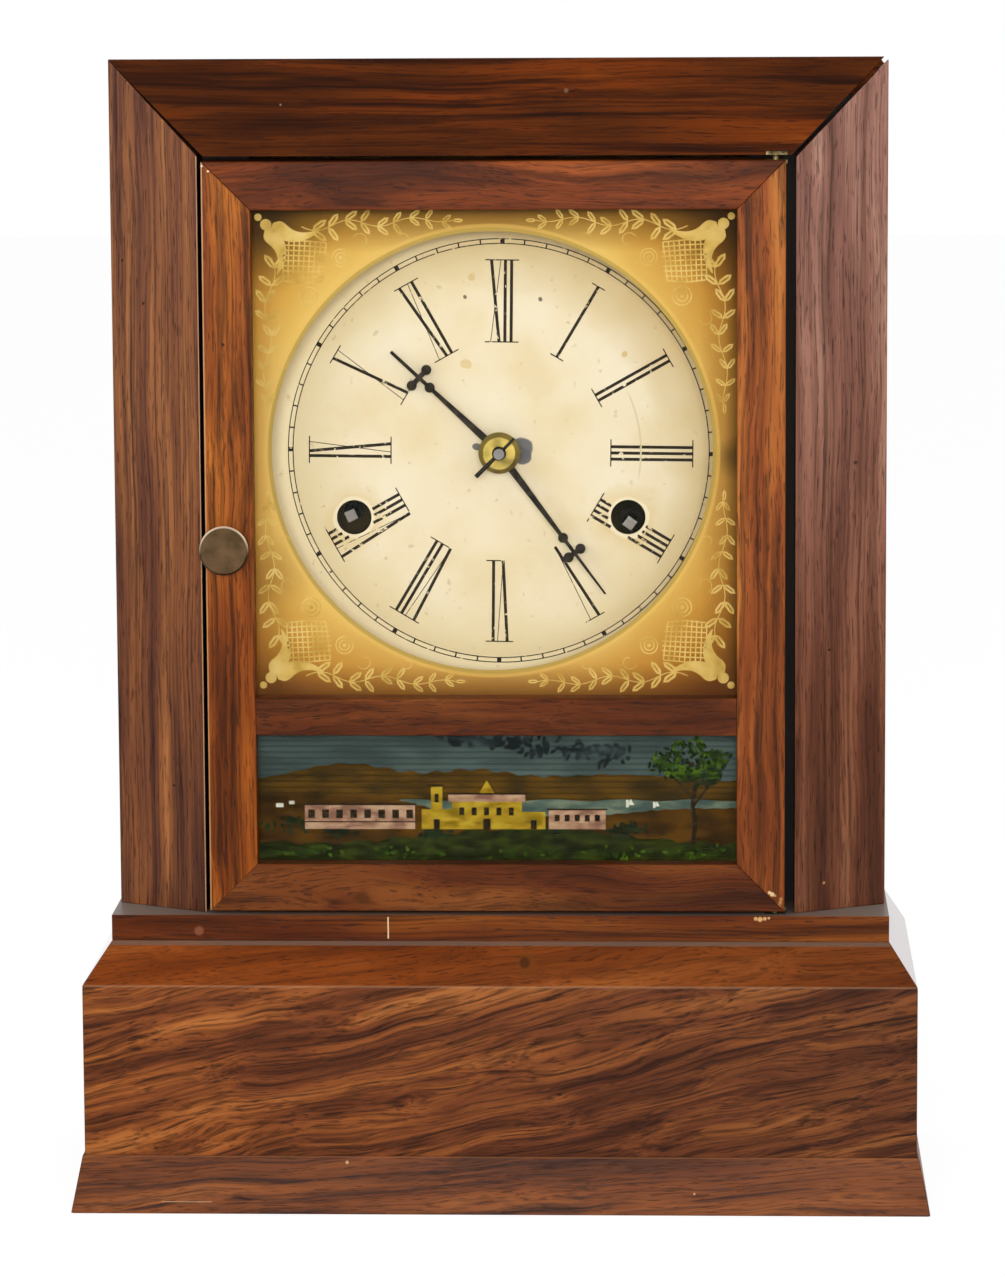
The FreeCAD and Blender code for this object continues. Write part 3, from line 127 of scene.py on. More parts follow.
def veneer_sheet(tree, axis, tones, dark, streak, sway, offset, streak_width=3.2, streak_length=170,
                 pore=0.55, slant=0, line=0.5, cloud=(110, 13)):
    """Colour and height of a rosewood sheet: clouds of tone, dark streaks, fine lines and open pores on the
    grain. The slant, in degrees, tilts a grain that runs across, so that it climbs to the right."""
    spot = add(tree, "TexCoord", out="Object")
    spot = add(tree, "Mapping", {"Vector": spot, "Location": metres(*offset),
                                 "Rotation": (0, math.radians(slant), 0)})

    def along(length, width, start):
        scale = [1000 / width] * 3
        scale[axis] = 1000 / length
        return add(tree, "Mapping", {"Vector": start, "Scale": scale})

    drift = add(tree, "TexNoise", {"Vector": along(75, 26, spot), "Scale": 1, "Detail": 2.5}, "Color")
    reach = [sway / 1000] * 3
    reach[axis] = 0
    swayed = stray(tree, drift, reach, spot)
    clouds = add(tree, "TexNoise", {"Vector": along(*cloud, swayed), "Scale": 1, "Detail": 4})
    colour = add(tree, "ValToRGB", {0: clouds}, stops=list(zip((0.3, 0.46, 0.58, 0.72), tones)))
    band = add(tree, "TexNoise", {"Vector": along(streak_length, streak_width, swayed), "Scale": 1,
                                  "Detail": 5, "Roughness": 0.62})
    band = add(tree, "MapRange", {0: band, 1: 0.47, 2: 0.66, 3: 0.0, 4: streak})
    fine = add(tree, "TexNoise", {"Vector": along(95, 0.75, swayed), "Scale": 1, "Detail": 2})
    fine_line = add(tree, "MapRange", {0: fine, 1: 0.5, 2: 0.7, 3: 0.0, 4: line})
    grain = add(tree, "TexNoise", {"Vector": along(6.5, 0.5, swayed), "Scale": 1, "Detail": 1})
    open_pore = add(tree, "MapRange", {0: grain, 1: 0.6, 2: 0.68, 3: 0.0, 4: pore})
    for factor, shade in ((band, dark), (fine_line, dark), (open_pore, "#23110a")):
        colour = add(tree, "Mix", {0: factor, 6: colour, 7: linear(shade)}, data_type="RGBA", out=2)
    height = add(tree, "Math", {0: fine, 1: open_pore}, operation="SUBTRACT")
    return colour, height


# Rosewood veneer under old varnish: red brown with near black streaks and open pores, and a satin sheen.
def veneer(name, sheet, upper=None, gloss=0.06):
    """A board faced with one sheet, and with another above the line of the base's bevel if given."""
    material, tree, shader = new_material(name, {"Roughness": 0.36, "IOR": 1.5, "Specular IOR Level": gloss})
    colour, height = veneer_sheet(tree, **sheet)
    if upper:
        place = add(tree, "TexCoord", out="Object")
        level = add(tree, "SeparateXYZ", {0: place}, "Z")
        above = add(tree, "Math", {0: level, 1: BASE_BEVEL_Z / 1000}, operation="GREATER_THAN")
        top_colour, _ = veneer_sheet(tree, **upper)
        colour = add(tree, "Mix", {0: above, 6: colour, 7: top_colour}, data_type="RGBA", out=2)
    tree.links.new(colour, shader.inputs["Base Color"])
    relief = add(tree, "Bump", {"Height": height, "Strength": 0.25, "Distance": 0.0002})
    tree.links.new(relief, shader.inputs["Normal"])
    return material


def touch(material, colour, factor, blend="MIX"):
    """Lays a second colour over a material, or multiplies it in, where a factor made in its tree is high."""
    tree = material.node_tree
    ground = tree.nodes["Principled BSDF"].inputs["Base Color"]
    laid = add(tree, "Mix", {0: factor, 6: ground.links[0].from_socket, 7: linear(colour)}, data_type="RGBA",
               blend_type=blend, out=2)
    tree.links.new(laid, ground)


def zone(material, strength, **limits):
    """A factor of the given strength between limits in millimetres, given for each axis that counts."""
    tree = material.node_tree
    place = add(tree, "TexCoord", out="Object")
    factor = strength
    for axis, (low, high) in limits.items():
        along = add(tree, "SeparateXYZ", {0: place}, axis)
        within = add(tree, "Math", {0: along, 1: (low + high) / 2000, 2: (high - low) / 2000},
                     operation="COMPARE")
        factor = add(tree, "Math", {0: factor, 1: within}, operation="MULTIPLY")
    return factor


def spread(tree, place, centre, near, far, low=1.0, high=0.0):
    """A factor that goes from low to high between two distances in millimetres from a point of the front."""
    gap = add(tree, "VectorMath", {0: place, 1: metres(*centre)}, operation="SUBTRACT")
    flat = add(tree, "VectorMath", {0: gap, 1: (1, 0, 1)}, operation="MULTIPLY")
    length = add(tree, "VectorMath", {0: flat}, operation="LENGTH", out="Value")
    return add(tree, "MapRange", {0: length, 1: near / 1000, 2: far / 1000, 3: low, 4: high})


def fade(material, axis, start, end, strength):
    """A factor that grows along an axis, from nothing at the start to the given strength at the end."""
    tree = material.node_tree
    place = add(tree, "SeparateXYZ", {0: add(tree, "TexCoord", out="Object")}, axis)
    return add(tree, "MapRange", {0: place, 1: start / 1000, 2: end / 1000, 3: 0.0, 4: strength})


def dots(material, *marks):
    """Small round marks on a front: place in X and Z, radius in millimetres and colour."""
    tree = material.node_tree
    place = add(tree, "TexCoord", out="Object")
    for x, z, radius, colour in marks:
        touch(material, colour, spread(tree, place, (x, 0, z), radius * 0.6, radius, 0.85, 0.0))


BASE_TONES = ("#492412", "#723c1e", "#8e4f24", "#a86531")
BEVEL_TONES = ("#662d0d", "#7d3b12", "#8c4619", "#9b5320")
FOOT_TONES = ("#4d240b", "#683514", "#7e441c", "#905427")
base_sheet = dict(axis=0, tones=BASE_TONES, dark="#2f170c", streak=0.9, sway=19, offset=(0, 0, 0), slant=13,
                  streak_width=1.3, streak_length=80, cloud=(90, 6), line=0.6)
bevel_sheet = dict(axis=0, tones=BEVEL_TONES, dark="#4a2410", streak=0.5, sway=14, offset=(70, 40, 11),
                   slant=8, pore=0.5, line=0.45)
foot_sheet = dict(axis=0, tones=FOOT_TONES, dark="#2c140a", streak=0.95, sway=12, offset=(300, 0, 60),
                  slant=4, streak_width=2.2)
base_front = veneer("figured_rosewood_base", base_sheet, bevel_sheet)
# Cooler and darker towards the right.
touch(base_front, "#dce5ff", fade(base_front, "X", -90, 110, 1.0), "MULTIPLY")
# A grey band along the top of the bevel, just under the cap board.
touch(base_front, "#6b584b", zone(base_front, 0.7, Z=(79.4, 81)))
dots(base_front, (8.4, 74.6, 3.4, "#6a3812"), (7.6, 75.0, 1.9, "#45240f"))
# Painted highlight: a pale line along the edge between the face and the bevel.
touch(base_front, "#b98a62", zone(base_front, 0.2, Z=(68.2, 68.8)))
paint(base_front, "base_front_panel")
side_base = veneer("figured_rosewood_base_sides",
                   {**base_sheet, "axis": 1, "offset": (80, 60, 5), "slant": 0},
                   {**bevel_sheet, "axis": 1, "slant": 0})
varnish_run = zone(side_base, 1.0, Z=(BASE_BEVEL_Z, 81))
side_base.node_tree.links.new(varnish_run, side_base.node_tree.nodes["Principled BSDF"].inputs["Coat Weight"])
paint(side_base, "base_left_panel", "base_right_panel")
foot_front = veneer("rosewood_foot", foot_sheet)
# A pale line along the top edge of the foot.
touch(foot_front, "#b07a55", zone(foot_front, 0.2, Z=(16.6, 17.2)))
touch(foot_front, "#c59a76", zone(foot_front, 0.5, X=(-101, -86), Z=(3.4, 3.7)))
dots(foot_front, (-45.5, 15.2, 0.6, "#c99a70"), (58, 6.4, 0.4, "#c99a70"))
paint(foot_front, "foot_front")
paint(veneer("rosewood_foot_sides", {**foot_sheet, "axis": 1}), "foot_left", "foot_right")
ease_edges(0.5, "base_front_panel", "base_left_panel", "base_right_panel", "foot_front", "foot_left",
           "foot_right")

# Cap board: the pine floor of the case, veneered on its edges, which stands as a plain fillet over the bevel.
# Its top is pale grey, more to the ends: dust, and partly a painted sheen. Its front has a plug, a scratch
# and a chip.
cap_sheet = dict(axis=0, tones=("#431904", "#5d290b", "#723912", "#854916"), dark="#260e05", streak=0.8,
                 sway=5, offset=(15, 0, 220))
cap = veneer("rosewood_cap", cap_sheet)
tree = cap.node_tree
across = add(tree, "SeparateXYZ", {0: add(tree, "TexCoord", out="Object")}, "X")
across = add(tree, "Math", {0: across}, operation="ABSOLUTE")
# Dust and painted sheen on the upward faces of the cap.
dust_and_sheen = add(tree, "MapRange", {0: across, 1: 0.07, 2: 0.115, 3: 0.3, 4: 0.8})
upward = add(tree, "SeparateXYZ", {0: add(tree, "NewGeometry", out="Normal")}, "Z")
upward = add(tree, "Math", {0: upward, 1: 0.7}, operation="GREATER_THAN")
dust_and_sheen = add(tree, "Math", {0: dust_and_sheen, 1: upward}, operation="MULTIPLY")
touch(cap, "#a0958b", dust_and_sheen)
touch(cap, "#e2bd92", zone(cap, 0.9, X=(-33.4, -33.0), Y=(-42, -41), Z=(81.4, 87.9)))
dots(cap, (-89.7, 83.6, 1.7, "#7a472f"), (76.2, 87.6, 0.7, "#c99b62"), (77.5, 87.4, 0.9, "#d0a56d"),
     (78.9, 87.6, 0.7, "#c99b62"), (80.1, 87.8, 0.5, "#c99b62"))
paint(cap, "base_cap_board")
ease_edges(0.5, "base_cap_board")


# Pine boards that nobody sees from the front: the rear rail of the base, the back, the dial strips, the
# beads. Sawn and left bare, gone brown with age, with dark lines between the rings. The dial strips are
# painted near black, as painted shade, so that the gaps round the door look dark.
def pine(name, axis, pale, mid, dark):
    material, tree, shader = new_material(name, {"Roughness": 0.75, "IOR": 1.5})
    colour, height = veneer_sheet(tree, axis, (dark, mid, pale, pale), dark, 0.45, 10, (40, 90, 10),
                                  streak_width=5, streak_length=400, pore=0.1)
    tree.links.new(colour, shader.inputs["Base Color"])
    relief = add(tree, "Bump", {"Height": height, "Strength": 0.5, "Distance": 0.0003})
    tree.links.new(relief, shader.inputs["Normal"])
    return material


paint(pine("old_pine_across", 0, "#a5804f", "#8f6b3f", "#6d4d2a"), "base_rear_rail", "glazing_beads")
paint(pine("old_pine_upright", 2, "#a07b4c", "#8a673c", "#664728"), "back_board")
paint(pine("shade_black_pine_strips", 2, "#241a12", "#1b130d", "#110c08"), "dial_strips")

# Case: two side boards and a top board of pine, veneered with quieter rosewood and varnished. The top has
# lost its shine to dust.
side_sheet = dict(axis=2, tones=("#4f2813", "#693619", "#7a421f", "#8a5028"), dark="#31190e", streak=0.7,
                  sway=9, offset=(0, 120, 30))
paint(veneer("rosewood_case_sides", side_sheet), "case_left_side", "case_right_side")
paint(veneer("rosewood_case_top", {**side_sheet, "axis": 0}, gloss=0.0), "case_top_board")
ease_edges(0.4, "case_left_side", "case_right_side", "case_top_board")

# Front frame: two stiles and a top rail, planed to a slope that falls back to the outside, veneered along
# their length and mitred at the top. The left stile is red brown, the rail darker, the right stile greyer,
# with a painted sheen in its colour that is strongest at the top.
left_sheet = dict(axis=2, tones=("#4b2e26", "#724733", "#8d5a39", "#ac7147"), dark="#2e1f21", streak=0.7,
                  sway=5, offset=(0, 0, 0), streak_width=1.8, cloud=(150, 6), line=0.6)
rail_sheet = dict(axis=0, tones=("#2c1004", "#51250a", "#6b2f0c", "#824012"), dark="#160804", streak=0.85,
                  sway=6, offset=(0, 200, 40))
right_sheet = dict(axis=2, tones=("#63433b", "#865d50", "#9f7465", "#b7917c"), dark="#443027", streak=0.6,
                   sway=6, offset=(90, 0, 500), streak_width=1.8, cloud=(140, 7), line=0.6)
left_stile = veneer("rosewood_left_stile", left_sheet)
# Darker towards the bottom.
touch(left_stile, "#ede3d5", fade(left_stile, "Z", 300, 150, 1.0), "MULTIPLY")
# Painted highlight: a pale line along the inner front edge.
touch(left_stile, "#c79a72", zone(left_stile, 0.7, X=(-88.1, -87.6), Y=(-38, -37.3)))
dots(left_stile, (-111.4, 282.5, 0.5, "#1c0f0a"), (-105, 270, 0.5, "#1c0f0a"), (-97.5, 126, 0.5, "#1c0f0a"))
# Painted shade: the inner face, seen in the gap beside the door, is near black.
touch(left_stile, "#120a07", zone(left_stile, 0.95, X=(-87.95, -87.5), Y=(-37.2, -20)))
paint(left_stile, "frame_left_stile")
top_rail = veneer("rosewood_top_rail", rail_sheet)
dots(top_rail, (20.4, 332.3, 0.8, "#6d5140"), (-63.5, 328.5, 0.4, "#8a6a50"))
paint(top_rail, "frame_top_rail")
right_stile = veneer("rosewood_right_stile", right_sheet)
dots(right_stile, (105.6, 222.4, 0.7, "#3a2a26"), (98, 167, 0.5, "#1c0f0a"), (96.6, 96.8, 0.5, "#d8b890"))
# Painted sheen: lighter and greyer towards the top.
touch(right_stile, "#ceb396", fade(right_stile, "Z", 310, 150, 1.0), "MULTIPLY")
# Painted shade: the inner face, seen in the gap beside the door, is near black.
touch(right_stile, "#0e0806", zone(right_stile, 0.97, X=(87.5, 87.95), Y=(-37.3, -20)))
paint(right_stile, "frame_right_stile")
ease_edges(0.35, "frame_left_stile", "frame_top_rail", "frame_right_stile")

# Door: four mitred pine members and a muntin, veneered with redder, blotched rosewood. It hangs on two
# brass pivots at its right corners, and its left edge is rubbed pale, with a painted highlight along it.
door_top = dict(axis=0, tones=("#361606", "#632c0f", "#7f3b14", "#974e20"), dark="#1c0c04", streak=0.6,
                sway=20, offset=(0, 0, 900), streak_width=6)
door_bottom = {**door_top, "offset": (400, 0, 0), "tones": ("#381809", "#5c2b10", "#703c18", "#844b21")}
door_left = dict(axis=2, tones=("#54280e", "#814118", "#a15a1f", "#bd6f28"), dark="#2c1609", streak=0.8,
                 sway=8, offset=(300, 0, 0), streak_width=2.2, cloud=(120, 7), line=0.6)
door_right = {**door_left, "offset": (700, 0, 90), "tones": ("#5f2c11", "#8b481e", "#a56029", "#ba7434")}
paint(veneer("rosewood_door_top", door_top), "door_top_rail")
paint(veneer("rosewood_door_bottom", door_bottom), "door_bottom_rail")
paint(veneer("rosewood_muntin", {**door_bottom, "offset": (40, 0, 300)}), "door_muntin")
left_member = veneer("rosewood_door_left", door_left)
# A pale line along the outer front edge: rubbed, and a painted highlight.
touch(left_member, "#c99a70", zone(left_member, 0.65, X=(-86.6, -85.95), Y=(-40.3, -39.6)))
# Darker towards the bottom.
touch(left_member, "#f2e7cd", fade(left_member, "Z", 280, 150, 1.0), "MULTIPLY")
dots(left_member, (-80.4, 258.8, 0.6, "#2a150c"), (-84.2, 309.7, 0.4, "#e8d8c4"),
     (-86, 311.2, 0.4, "#e8d8c4"))
paint(left_member, "door_left_stile")
right_member = veneer("rosewood_door_right", door_right)
dots(right_member, (80.3, 95.2, 0.6, "#d9bb8a"), (81.1, 94.7, 0.8, "#d9bb8a"), (81.9, 94.3, 0.5, "#b98f5c"),
     (83.7, 93.2, 0.6, "#a87c48"), (83.5, 92.2, 0.6, "#a87c48"), (83.2, 91.4, 0.6, "#8c6a3c"))
paint(right_member, "door_right_stile")
ease_edges(0.35, "door_top_rail", "door_bottom_rail", "door_muntin", "door_left_stile", "door_right_stile")

# Dial: a zinc sheet painted cream, yellowed towards its rim and stained round the winding holes by oily
# fingers, with painted shade on the upper right of its rim. It lies on two strips of wood in the case, and a
# fine arc is scratched through its right.
DIAL_FRONT_Y = -18.5
DIAL_X, DIAL_Z = 0.0, 224.85
STRIKE_HOLE = (-43.7, 205.0)
TIME_HOLE = (38.2, 205.0)


def scratch(tree, place):
    """A factor on the fine arc that is scratched through the right of the dial."""
    centre = (DIAL_X, 0, DIAL_Z)
    factor = spread(tree, place, centre, 41.7, 41.9, 0.0, 1.0)
    for limit in (spread(tree, place, centre, 42.2, 42.4), spread(tree, place, (42, 0, 229.8), 11, 14)):
        factor = add(tree, "Math", {0: factor, 1: limit}, operation="MULTIPLY")
    return factor


def dial_paint(tree):
    """Colour of the aged cream paint, with painted light and painted shade near the rim."""
    place = add(tree, "TexCoord", out="Object")
    ruffle = add(tree, "TexNoise", {"Vector": place, "Scale": 70, "Detail": 4}, "Color")
    rough_place = stray(tree, ruffle, (0.012, 0, 0.012), place)
    fine_place = stray(tree, ruffle, (0.004, 0, 0.004), place)
    mottle = add(tree, "TexNoise", {"Vector": place, "Scale": 45, "Detail": 5})
    colour = add(tree, "ValToRGB", {0: mottle},
                 stops=((0.32, "#e5d0a0"), (0.5, "#ecdbb4"), (0.68, "#efe1bf")))
    coats = [(spread(tree, rough_place, (DIAL_X, 0, DIAL_Z), 46, 60, 0.0, 0.8), "#e4d09a"),
             # Paler outside the track: less stained, and lifted with painted light against the shade under
             # the border.
             (spread(tree, place, (DIAL_X, 0, DIAL_Z), 61.5, 63, 0.0, 1.0), "#f6e4b2"),
             # Painted shade: darker towards the upper right of the rim, where the frame shades it.
             (spread(tree, rough_place, (DIAL_X - 9, 0, DIAL_Z - 9), 57, 76, 0.0, 0.75), "#c8a765")]
    for x, z in (STRIKE_HOLE, TIME_HOLE):
        coats.append((spread(tree, rough_place, (x, 0, z), 5, 11, 0.75), "#dcbe7c"))
        coats.append((spread(tree, fine_place, (x, 0, z), 5.9, 6.6, 0.8), "#f4e6c0"))
    for x, z, size, shade in ((6.0, 0.6, 3.7, "#4f4e4f"), (6.6, -1.6, 2.6, "#4f4e4f"),
                              (-6.6, 1.4, 1.3, "#57544f"), (-9.5, 26.0, 1.7, "#e0c389"),
                              (12.7, 45.0, 0.7, "#5f5136"), (-9.9, 46.2, 0.6, "#6f5c3a"),
                              (-7.6, 52.2, 1.2, "#d9ba7c"), (37.0, 29.4, 0.9, "#d6b878")):
        coats.append((spread(tree, fine_place, (DIAL_X + x, 0, DIAL_Z + z), size * 0.85, size, 0.95), shade))
    arc = add(tree, "Math", {0: scratch(tree, place), 1: 0.35}, operation="MULTIPLY")
    foxing = add(tree, "TexNoise", {"Vector": place, "Scale": 420, "Detail": 2})
    foxing = add(tree, "MapRange", {0: foxing, 1: 0.68, 2: 0.76, 3: 0.0, 4: 0.35})
    for factor, shade in coats + [(arc, "#b39a66"), (foxing, "#a5834c")]:
        colour = add(tree, "Mix", {0: factor, 6: colour, 7: linear(shade)}, data_type="RGBA", out=2)
    return colour


# Oil paint on zinc: a flat, warm cream with a weak sheen.
cream, tree, shader = new_material("aged_cream_dial_paint", {"Roughness": 0.55, "IOR": 1.5})
tree.links.new(dial_paint(tree), shader.inputs["Base Color"])
paint(cream, "dial_plate")

# Dial print: a double minute track with a block at each five minutes, and serifed Roman numerals set
# radially. Printed in brown black ink, a little turned on the sheet, and cut through by the winding holes.
INK_Y = DIAL_FRONT_Y - 0.04
PRINT_X, PRINT_Z = 0.3, 224.7
TRACK = (62.1, 63.5)
NUMERAL = (32.8, 57.2)
PRINT_TURN = 0.75
HOLE_EDGE = 6.0
FACE_FRONT = (math.pi / 2, 0, 0)


def ribbon(start, end, width, y):
    """A flat stroke between two places in X and Z, in millimetres, added to the mesh in edit mode."""
    across, up = end[0] - start[0], end[1] - start[1]
    middle = metres((start[0] + end[0]) / 2, y, (start[1] + end[1]) / 2)
    bpy.ops.mesh.primitive_plane_add(size=0.001, location=middle, rotation=FACE_FRONT)
    bpy.ops.transform.resize(value=(width, 1, math.hypot(across, up)), center_override=middle)
    bpy.ops.transform.rotate(value=-math.atan2(across, up), orient_axis="Y", center_override=middle)


def start_piece(name):
    """A new empty piece in edit mode, with nothing else selected."""
    if bpy.context.object and bpy.context.object.mode == "EDIT":
        bpy.ops.object.mode_set(mode="OBJECT")
    bpy.ops.object.select_all(action="DESELECT")
    bpy.ops.mesh.primitive_plane_add(size=0.001)
    piece = bpy.context.object
    piece.name = name
    bpy.ops.object.mode_set(mode="EDIT")
    bpy.ops.mesh.delete(type="VERT")
    return piece


def select_only(*pieces):
    """Selects these pieces and nothing else. The last one becomes active."""
    bpy.ops.object.select_all(action="DESELECT")
    for piece in pieces:
        piece.select_set(True)
    bpy.context.view_layer.objects.active = pieces[-1]


def finish_piece(piece, material, body):
    """Leaves edit mode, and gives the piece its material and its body."""
    bpy.ops.object.mode_set(mode="OBJECT")
    select_only(piece)
    bpy.ops.object.transform_apply(location=True, rotation=True, scale=True)
    piece.data.materials.clear()
    piece.data.materials.append(material)
    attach(piece, body)


def ring(inner, outer, centre, y, steps=180):
    """A flat ring that faces the front, added to the mesh in edit mode."""
    bpy.ops.mesh.select_all(action="DESELECT")
    middle = metres(centre[0], y, centre[1])
    bpy.ops.mesh.primitive_circle_add(vertices=steps, radius=outer / 1000, location=middle,
                                      rotation=FACE_FRONT)
    bpy.ops.mesh.extrude_edges_move()
    bpy.ops.transform.resize(value=(inner / outer,) * 3, center_override=middle)


def on_dial(angle, radius, across=0.0):
    """A place on the dial at a clockwise angle from the top, and so far to the right of that line."""
    turn = math.radians(angle + PRINT_TURN)
    return (PRINT_X + radius * math.sin(turn) + across * math.cos(turn),
            PRINT_Z + radius * math.cos(turn) - across * math.sin(turn))


# Printer's ink on paint: brown black and matt, broken by small flakes, and by larger ones near the holes.
ink, tree, shader = new_material("brown_black_dial_ink",
                                 {"Roughness": 0.7, "IOR": 1.5, "Specular IOR Level": 0.1})
place = add(tree, "TexCoord", out="Object")
flake = add(tree, "TexNoise", {"Vector": place, "Scale": 900, "Detail": 2})
worn = add(tree, "MapRange", {0: flake, 1: 0.69, 2: 0.73, 3: 0.0, 4: 1.0})
worn = add(tree, "Math", {0: worn, 1: scratch(tree, place)}, operation="MAXIMUM")
blotch = add(tree, "TexNoise", {"Vector": place, "Scale": 480, "Detail": 3})
for x, z in (STRIKE_HOLE, TIME_HOLE):
    wear_and_highlight = spread(tree, place, (x, 0, z), 6, 13, 0.1)
    patch = add(tree, "Math", {0: blotch, 1: wear_and_highlight})
    patch = add(tree, "MapRange", {0: patch, 1: 0.63, 2: 0.69, 3: 0.0, 4: 1.0})
    worn = add(tree, "Math", {0: worn, 1: patch}, operation="MAXIMUM")
colour = add(tree, "Mix", {0: worn, 6: linear("#2e2317"), 7: dial_paint(tree)}, data_type="RGBA", out=2)
tree.links.new(colour, shader.inputs["Base Color"])

track = start_piece("dial_minute_track")
for radius in TRACK:
    ring(radius - 0.15, radius + 0.15, (PRINT_X, PRINT_Z), INK_Y)
for minute in range(60):
    thick = 1.3 if minute % 5 == 0 else 0.44
    ribbon(on_dial(minute * 6, TRACK[0]), on_dial(minute * 6, TRACK[1]), thick, INK_Y)
finish_piece(track, ink, "case")

HEAVY, HAIR, SERIF = 0.92, 0.22, 0.34
OVERHANG = 1.3
GLYPHS = {"I": (1.86, [(0.93, 0.93, HEAVY)]),
          "V": (3.8, [(1.9, 0.5, HEAVY), (1.9, 3.4, HAIR)]),
          "X": (3.7, [(2.9, 0.5, HEAVY), (0.4, 3.3, HAIR)])}


def stroke(start, end, width):
    """An inked stroke, broken where it meets a winding hole."""
    length = math.dist(start, end)
    way = [(b - a) / length for a, b in zip(start, end)]
    cuts = [0.0, length]
    for hole in (STRIKE_HOLE, TIME_HOLE):
        reach = [h - a for h, a in zip(hole, start)]
        foot = reach[0] * way[0] + reach[1] * way[1]
        off = reach[0] * way[1] - reach[1] * way[0]
        if abs(off) < HOLE_EDGE and 0 < foot < length:
            half = math.sqrt(HOLE_EDGE ** 2 - off ** 2)
            cuts[1:1] = [foot - half, foot + half]
    for near, far in zip(cuts[::2], cuts[1::2]):
        if far > near:
            ends = [[a + w * along for a, w in zip(start, way)] for along in (near, far)]
            ribbon(*ends, width, INK_Y)


def numeral(name, words, angle):
    """A radial numeral. Each stroke goes from its foot, at the inner end, to its head. The point of a V has
    no serif."""
    piece = start_piece(name)
    width = sum(GLYPHS[letter][0] for letter in words)
    left = -width / 2
    foot_left = left
    for letter in words:
        step, strokes = GLYPHS[letter]
        for foot, head, thick in strokes:
            stroke(on_dial(angle, NUMERAL[0], left + foot), on_dial(angle, NUMERAL[1], left + head), thick)
        left += step
        if letter == "V":
            foot_left = left
    for radius, first in ((NUMERAL[1], -left), (NUMERAL[0], foot_left)):
        if first < left:
            stroke(on_dial(angle, radius, first - OVERHANG), on_dial(angle, radius, left + OVERHANG), SERIF)
    finish_piece(piece, ink, "case")


for hour, words in enumerate(("XII", "I", "II", "III", "IIII", "V", "VI", "VII", "VIII", "IX", "X", "XI")):
    numeral("dial_numeral_%d" % (hour or 12), words, hour * 30)


# Brass: wheels, plates, bob, hinges and collet, stamped from rolled sheet and dulled to a greenish brown
# yellow. The front plate, which the winding holes show, is nearly black: tarnished, and darkened further as
# painted shade in the holes.
def metal(name, bright, dull, rough, scale, grain=None):
    """A metal with patches of tarnish of the given scale, in millimetres, and brush marks along an axis if
    one is given."""
    material, tree, shader = new_material(name, {"Metallic": 1.0})
    place = add(tree, "TexCoord", out="Object")
    cloud = add(tree, "TexNoise", {"Vector": place, "Scale": 1000 / scale, "Detail": 5})
    colour = add(tree, "ValToRGB", {0: cloud}, stops=((0.35, dull), (0.65, bright)))
    tree.links.new(colour, shader.inputs["Base Color"])
    tarnish = add(tree, "MapRange", {0: cloud, 1: 0.35, 2: 0.65, 3: rough + 0.18, 4: rough})
    tree.links.new(tarnish, shader.inputs["Roughness"])
    brush = [1000 / 0.5] * 3
    if grain is not None:
        brush[grain] = 1000 / 25
    marks = add(tree, "Mapping", {"Vector": place, "Scale": brush})
    marks = add(tree, "TexNoise", {"Vector": marks, "Scale": 1, "Detail": 2})
    relief = add(tree, "Bump", {"Height": marks, "Strength": 0.2, "Distance": 0.0001})
    tree.links.new(relief, shader.inputs["Normal"])
    return material


rolled_brass = metal("rolled_brass", "#c9a85a", "#8f7436", 0.32, 14, 2)
paint(rolled_brass, "movement_back_plate", "hour_wheel", "motion_wheel", "time_main_wheel",
      "time_second_wheel", "time_third_wheel", "escape_wheel", "strike_main_wheel", "strike_second_wheel",
      "strike_third_wheel", "fly", "suspension_post")
paint(metal("tarnished_and_shaded_brass_plate", "#3a2f1c", "#1f180f", 0.55, 14, 2), "movement_front_plate")
paint(metal("spun_brass_bob", "#cfae60", "#94793a", 0.28, 9), "pendulum_bob")

# Steel: arbors, springs, verge, pendulum wire, hammer, pillars and nails, drawn or rolled, grey with a brown
# cast. The arbors are darker, with their front ends rubbed bright, and the winding arbors are painted near
# black behind the dial, as shade in the winding holes. The gong is blued, its post cast iron.
drawn_steel = metal("dull_steel", "#8c8883", "#5b5450", 0.38, 6, 1)
paint(drawn_steel, "case_nails", "movement_pillars", "movement_posts", "verge", "pendulum_rod", "hammer",
      "latch_hook")
centre_steel = metal("centre_wheel_brass_and_steel", "#c9a85a", "#8f7436", 0.32, 14, 2)
touch(centre_steel, "#4c4844", zone(centre_steel, 1.0, Y=(-40, -18)))
touch(centre_steel, "#66635f", zone(centre_steel, 1.0, Y=(-40, -27.2)))
paint(centre_steel, "centre_wheel")
# Painted shade: the winding arbors are near black behind the dial, and lighter steel from the dial forwards.
winding_steel = metal("winding_steel", "#26221d", "#14110e", 0.5, 3)
touch(winding_steel, "#7d7870", zone(winding_steel, 1.0, Y=(-40, -17.4)))
paint(winding_steel, "time_winding_arbor", "strike_winding_arbor")
paint(metal("spring_steel", "#6f7176", "#3f4044", 0.3, 5, 1), "time_mainspring", "strike_mainspring")
paint(metal("blued_gong_steel", "#3a4252", "#20242c", 0.35, 8), "gong_coil")
paint(metal("rough_cast_iron", "#45423f", "#2a2826", 0.62, 3), "gong_post")

# Hands: cut from thin steel sheet and japanned black, worn to brown at the edges, under a brass collet.
# The taper pin that holds the collet is dark steel.
paint(metal("japanned_steel", "#332c24", "#1a1612", 0.5, 2), "hour_hand", "minute_hand")
collet = metal("collet_brass", "#a8924a", "#7c6c34", 0.42, 4)
collet_place = add(collet.node_tree, "TexCoord", out="Object")
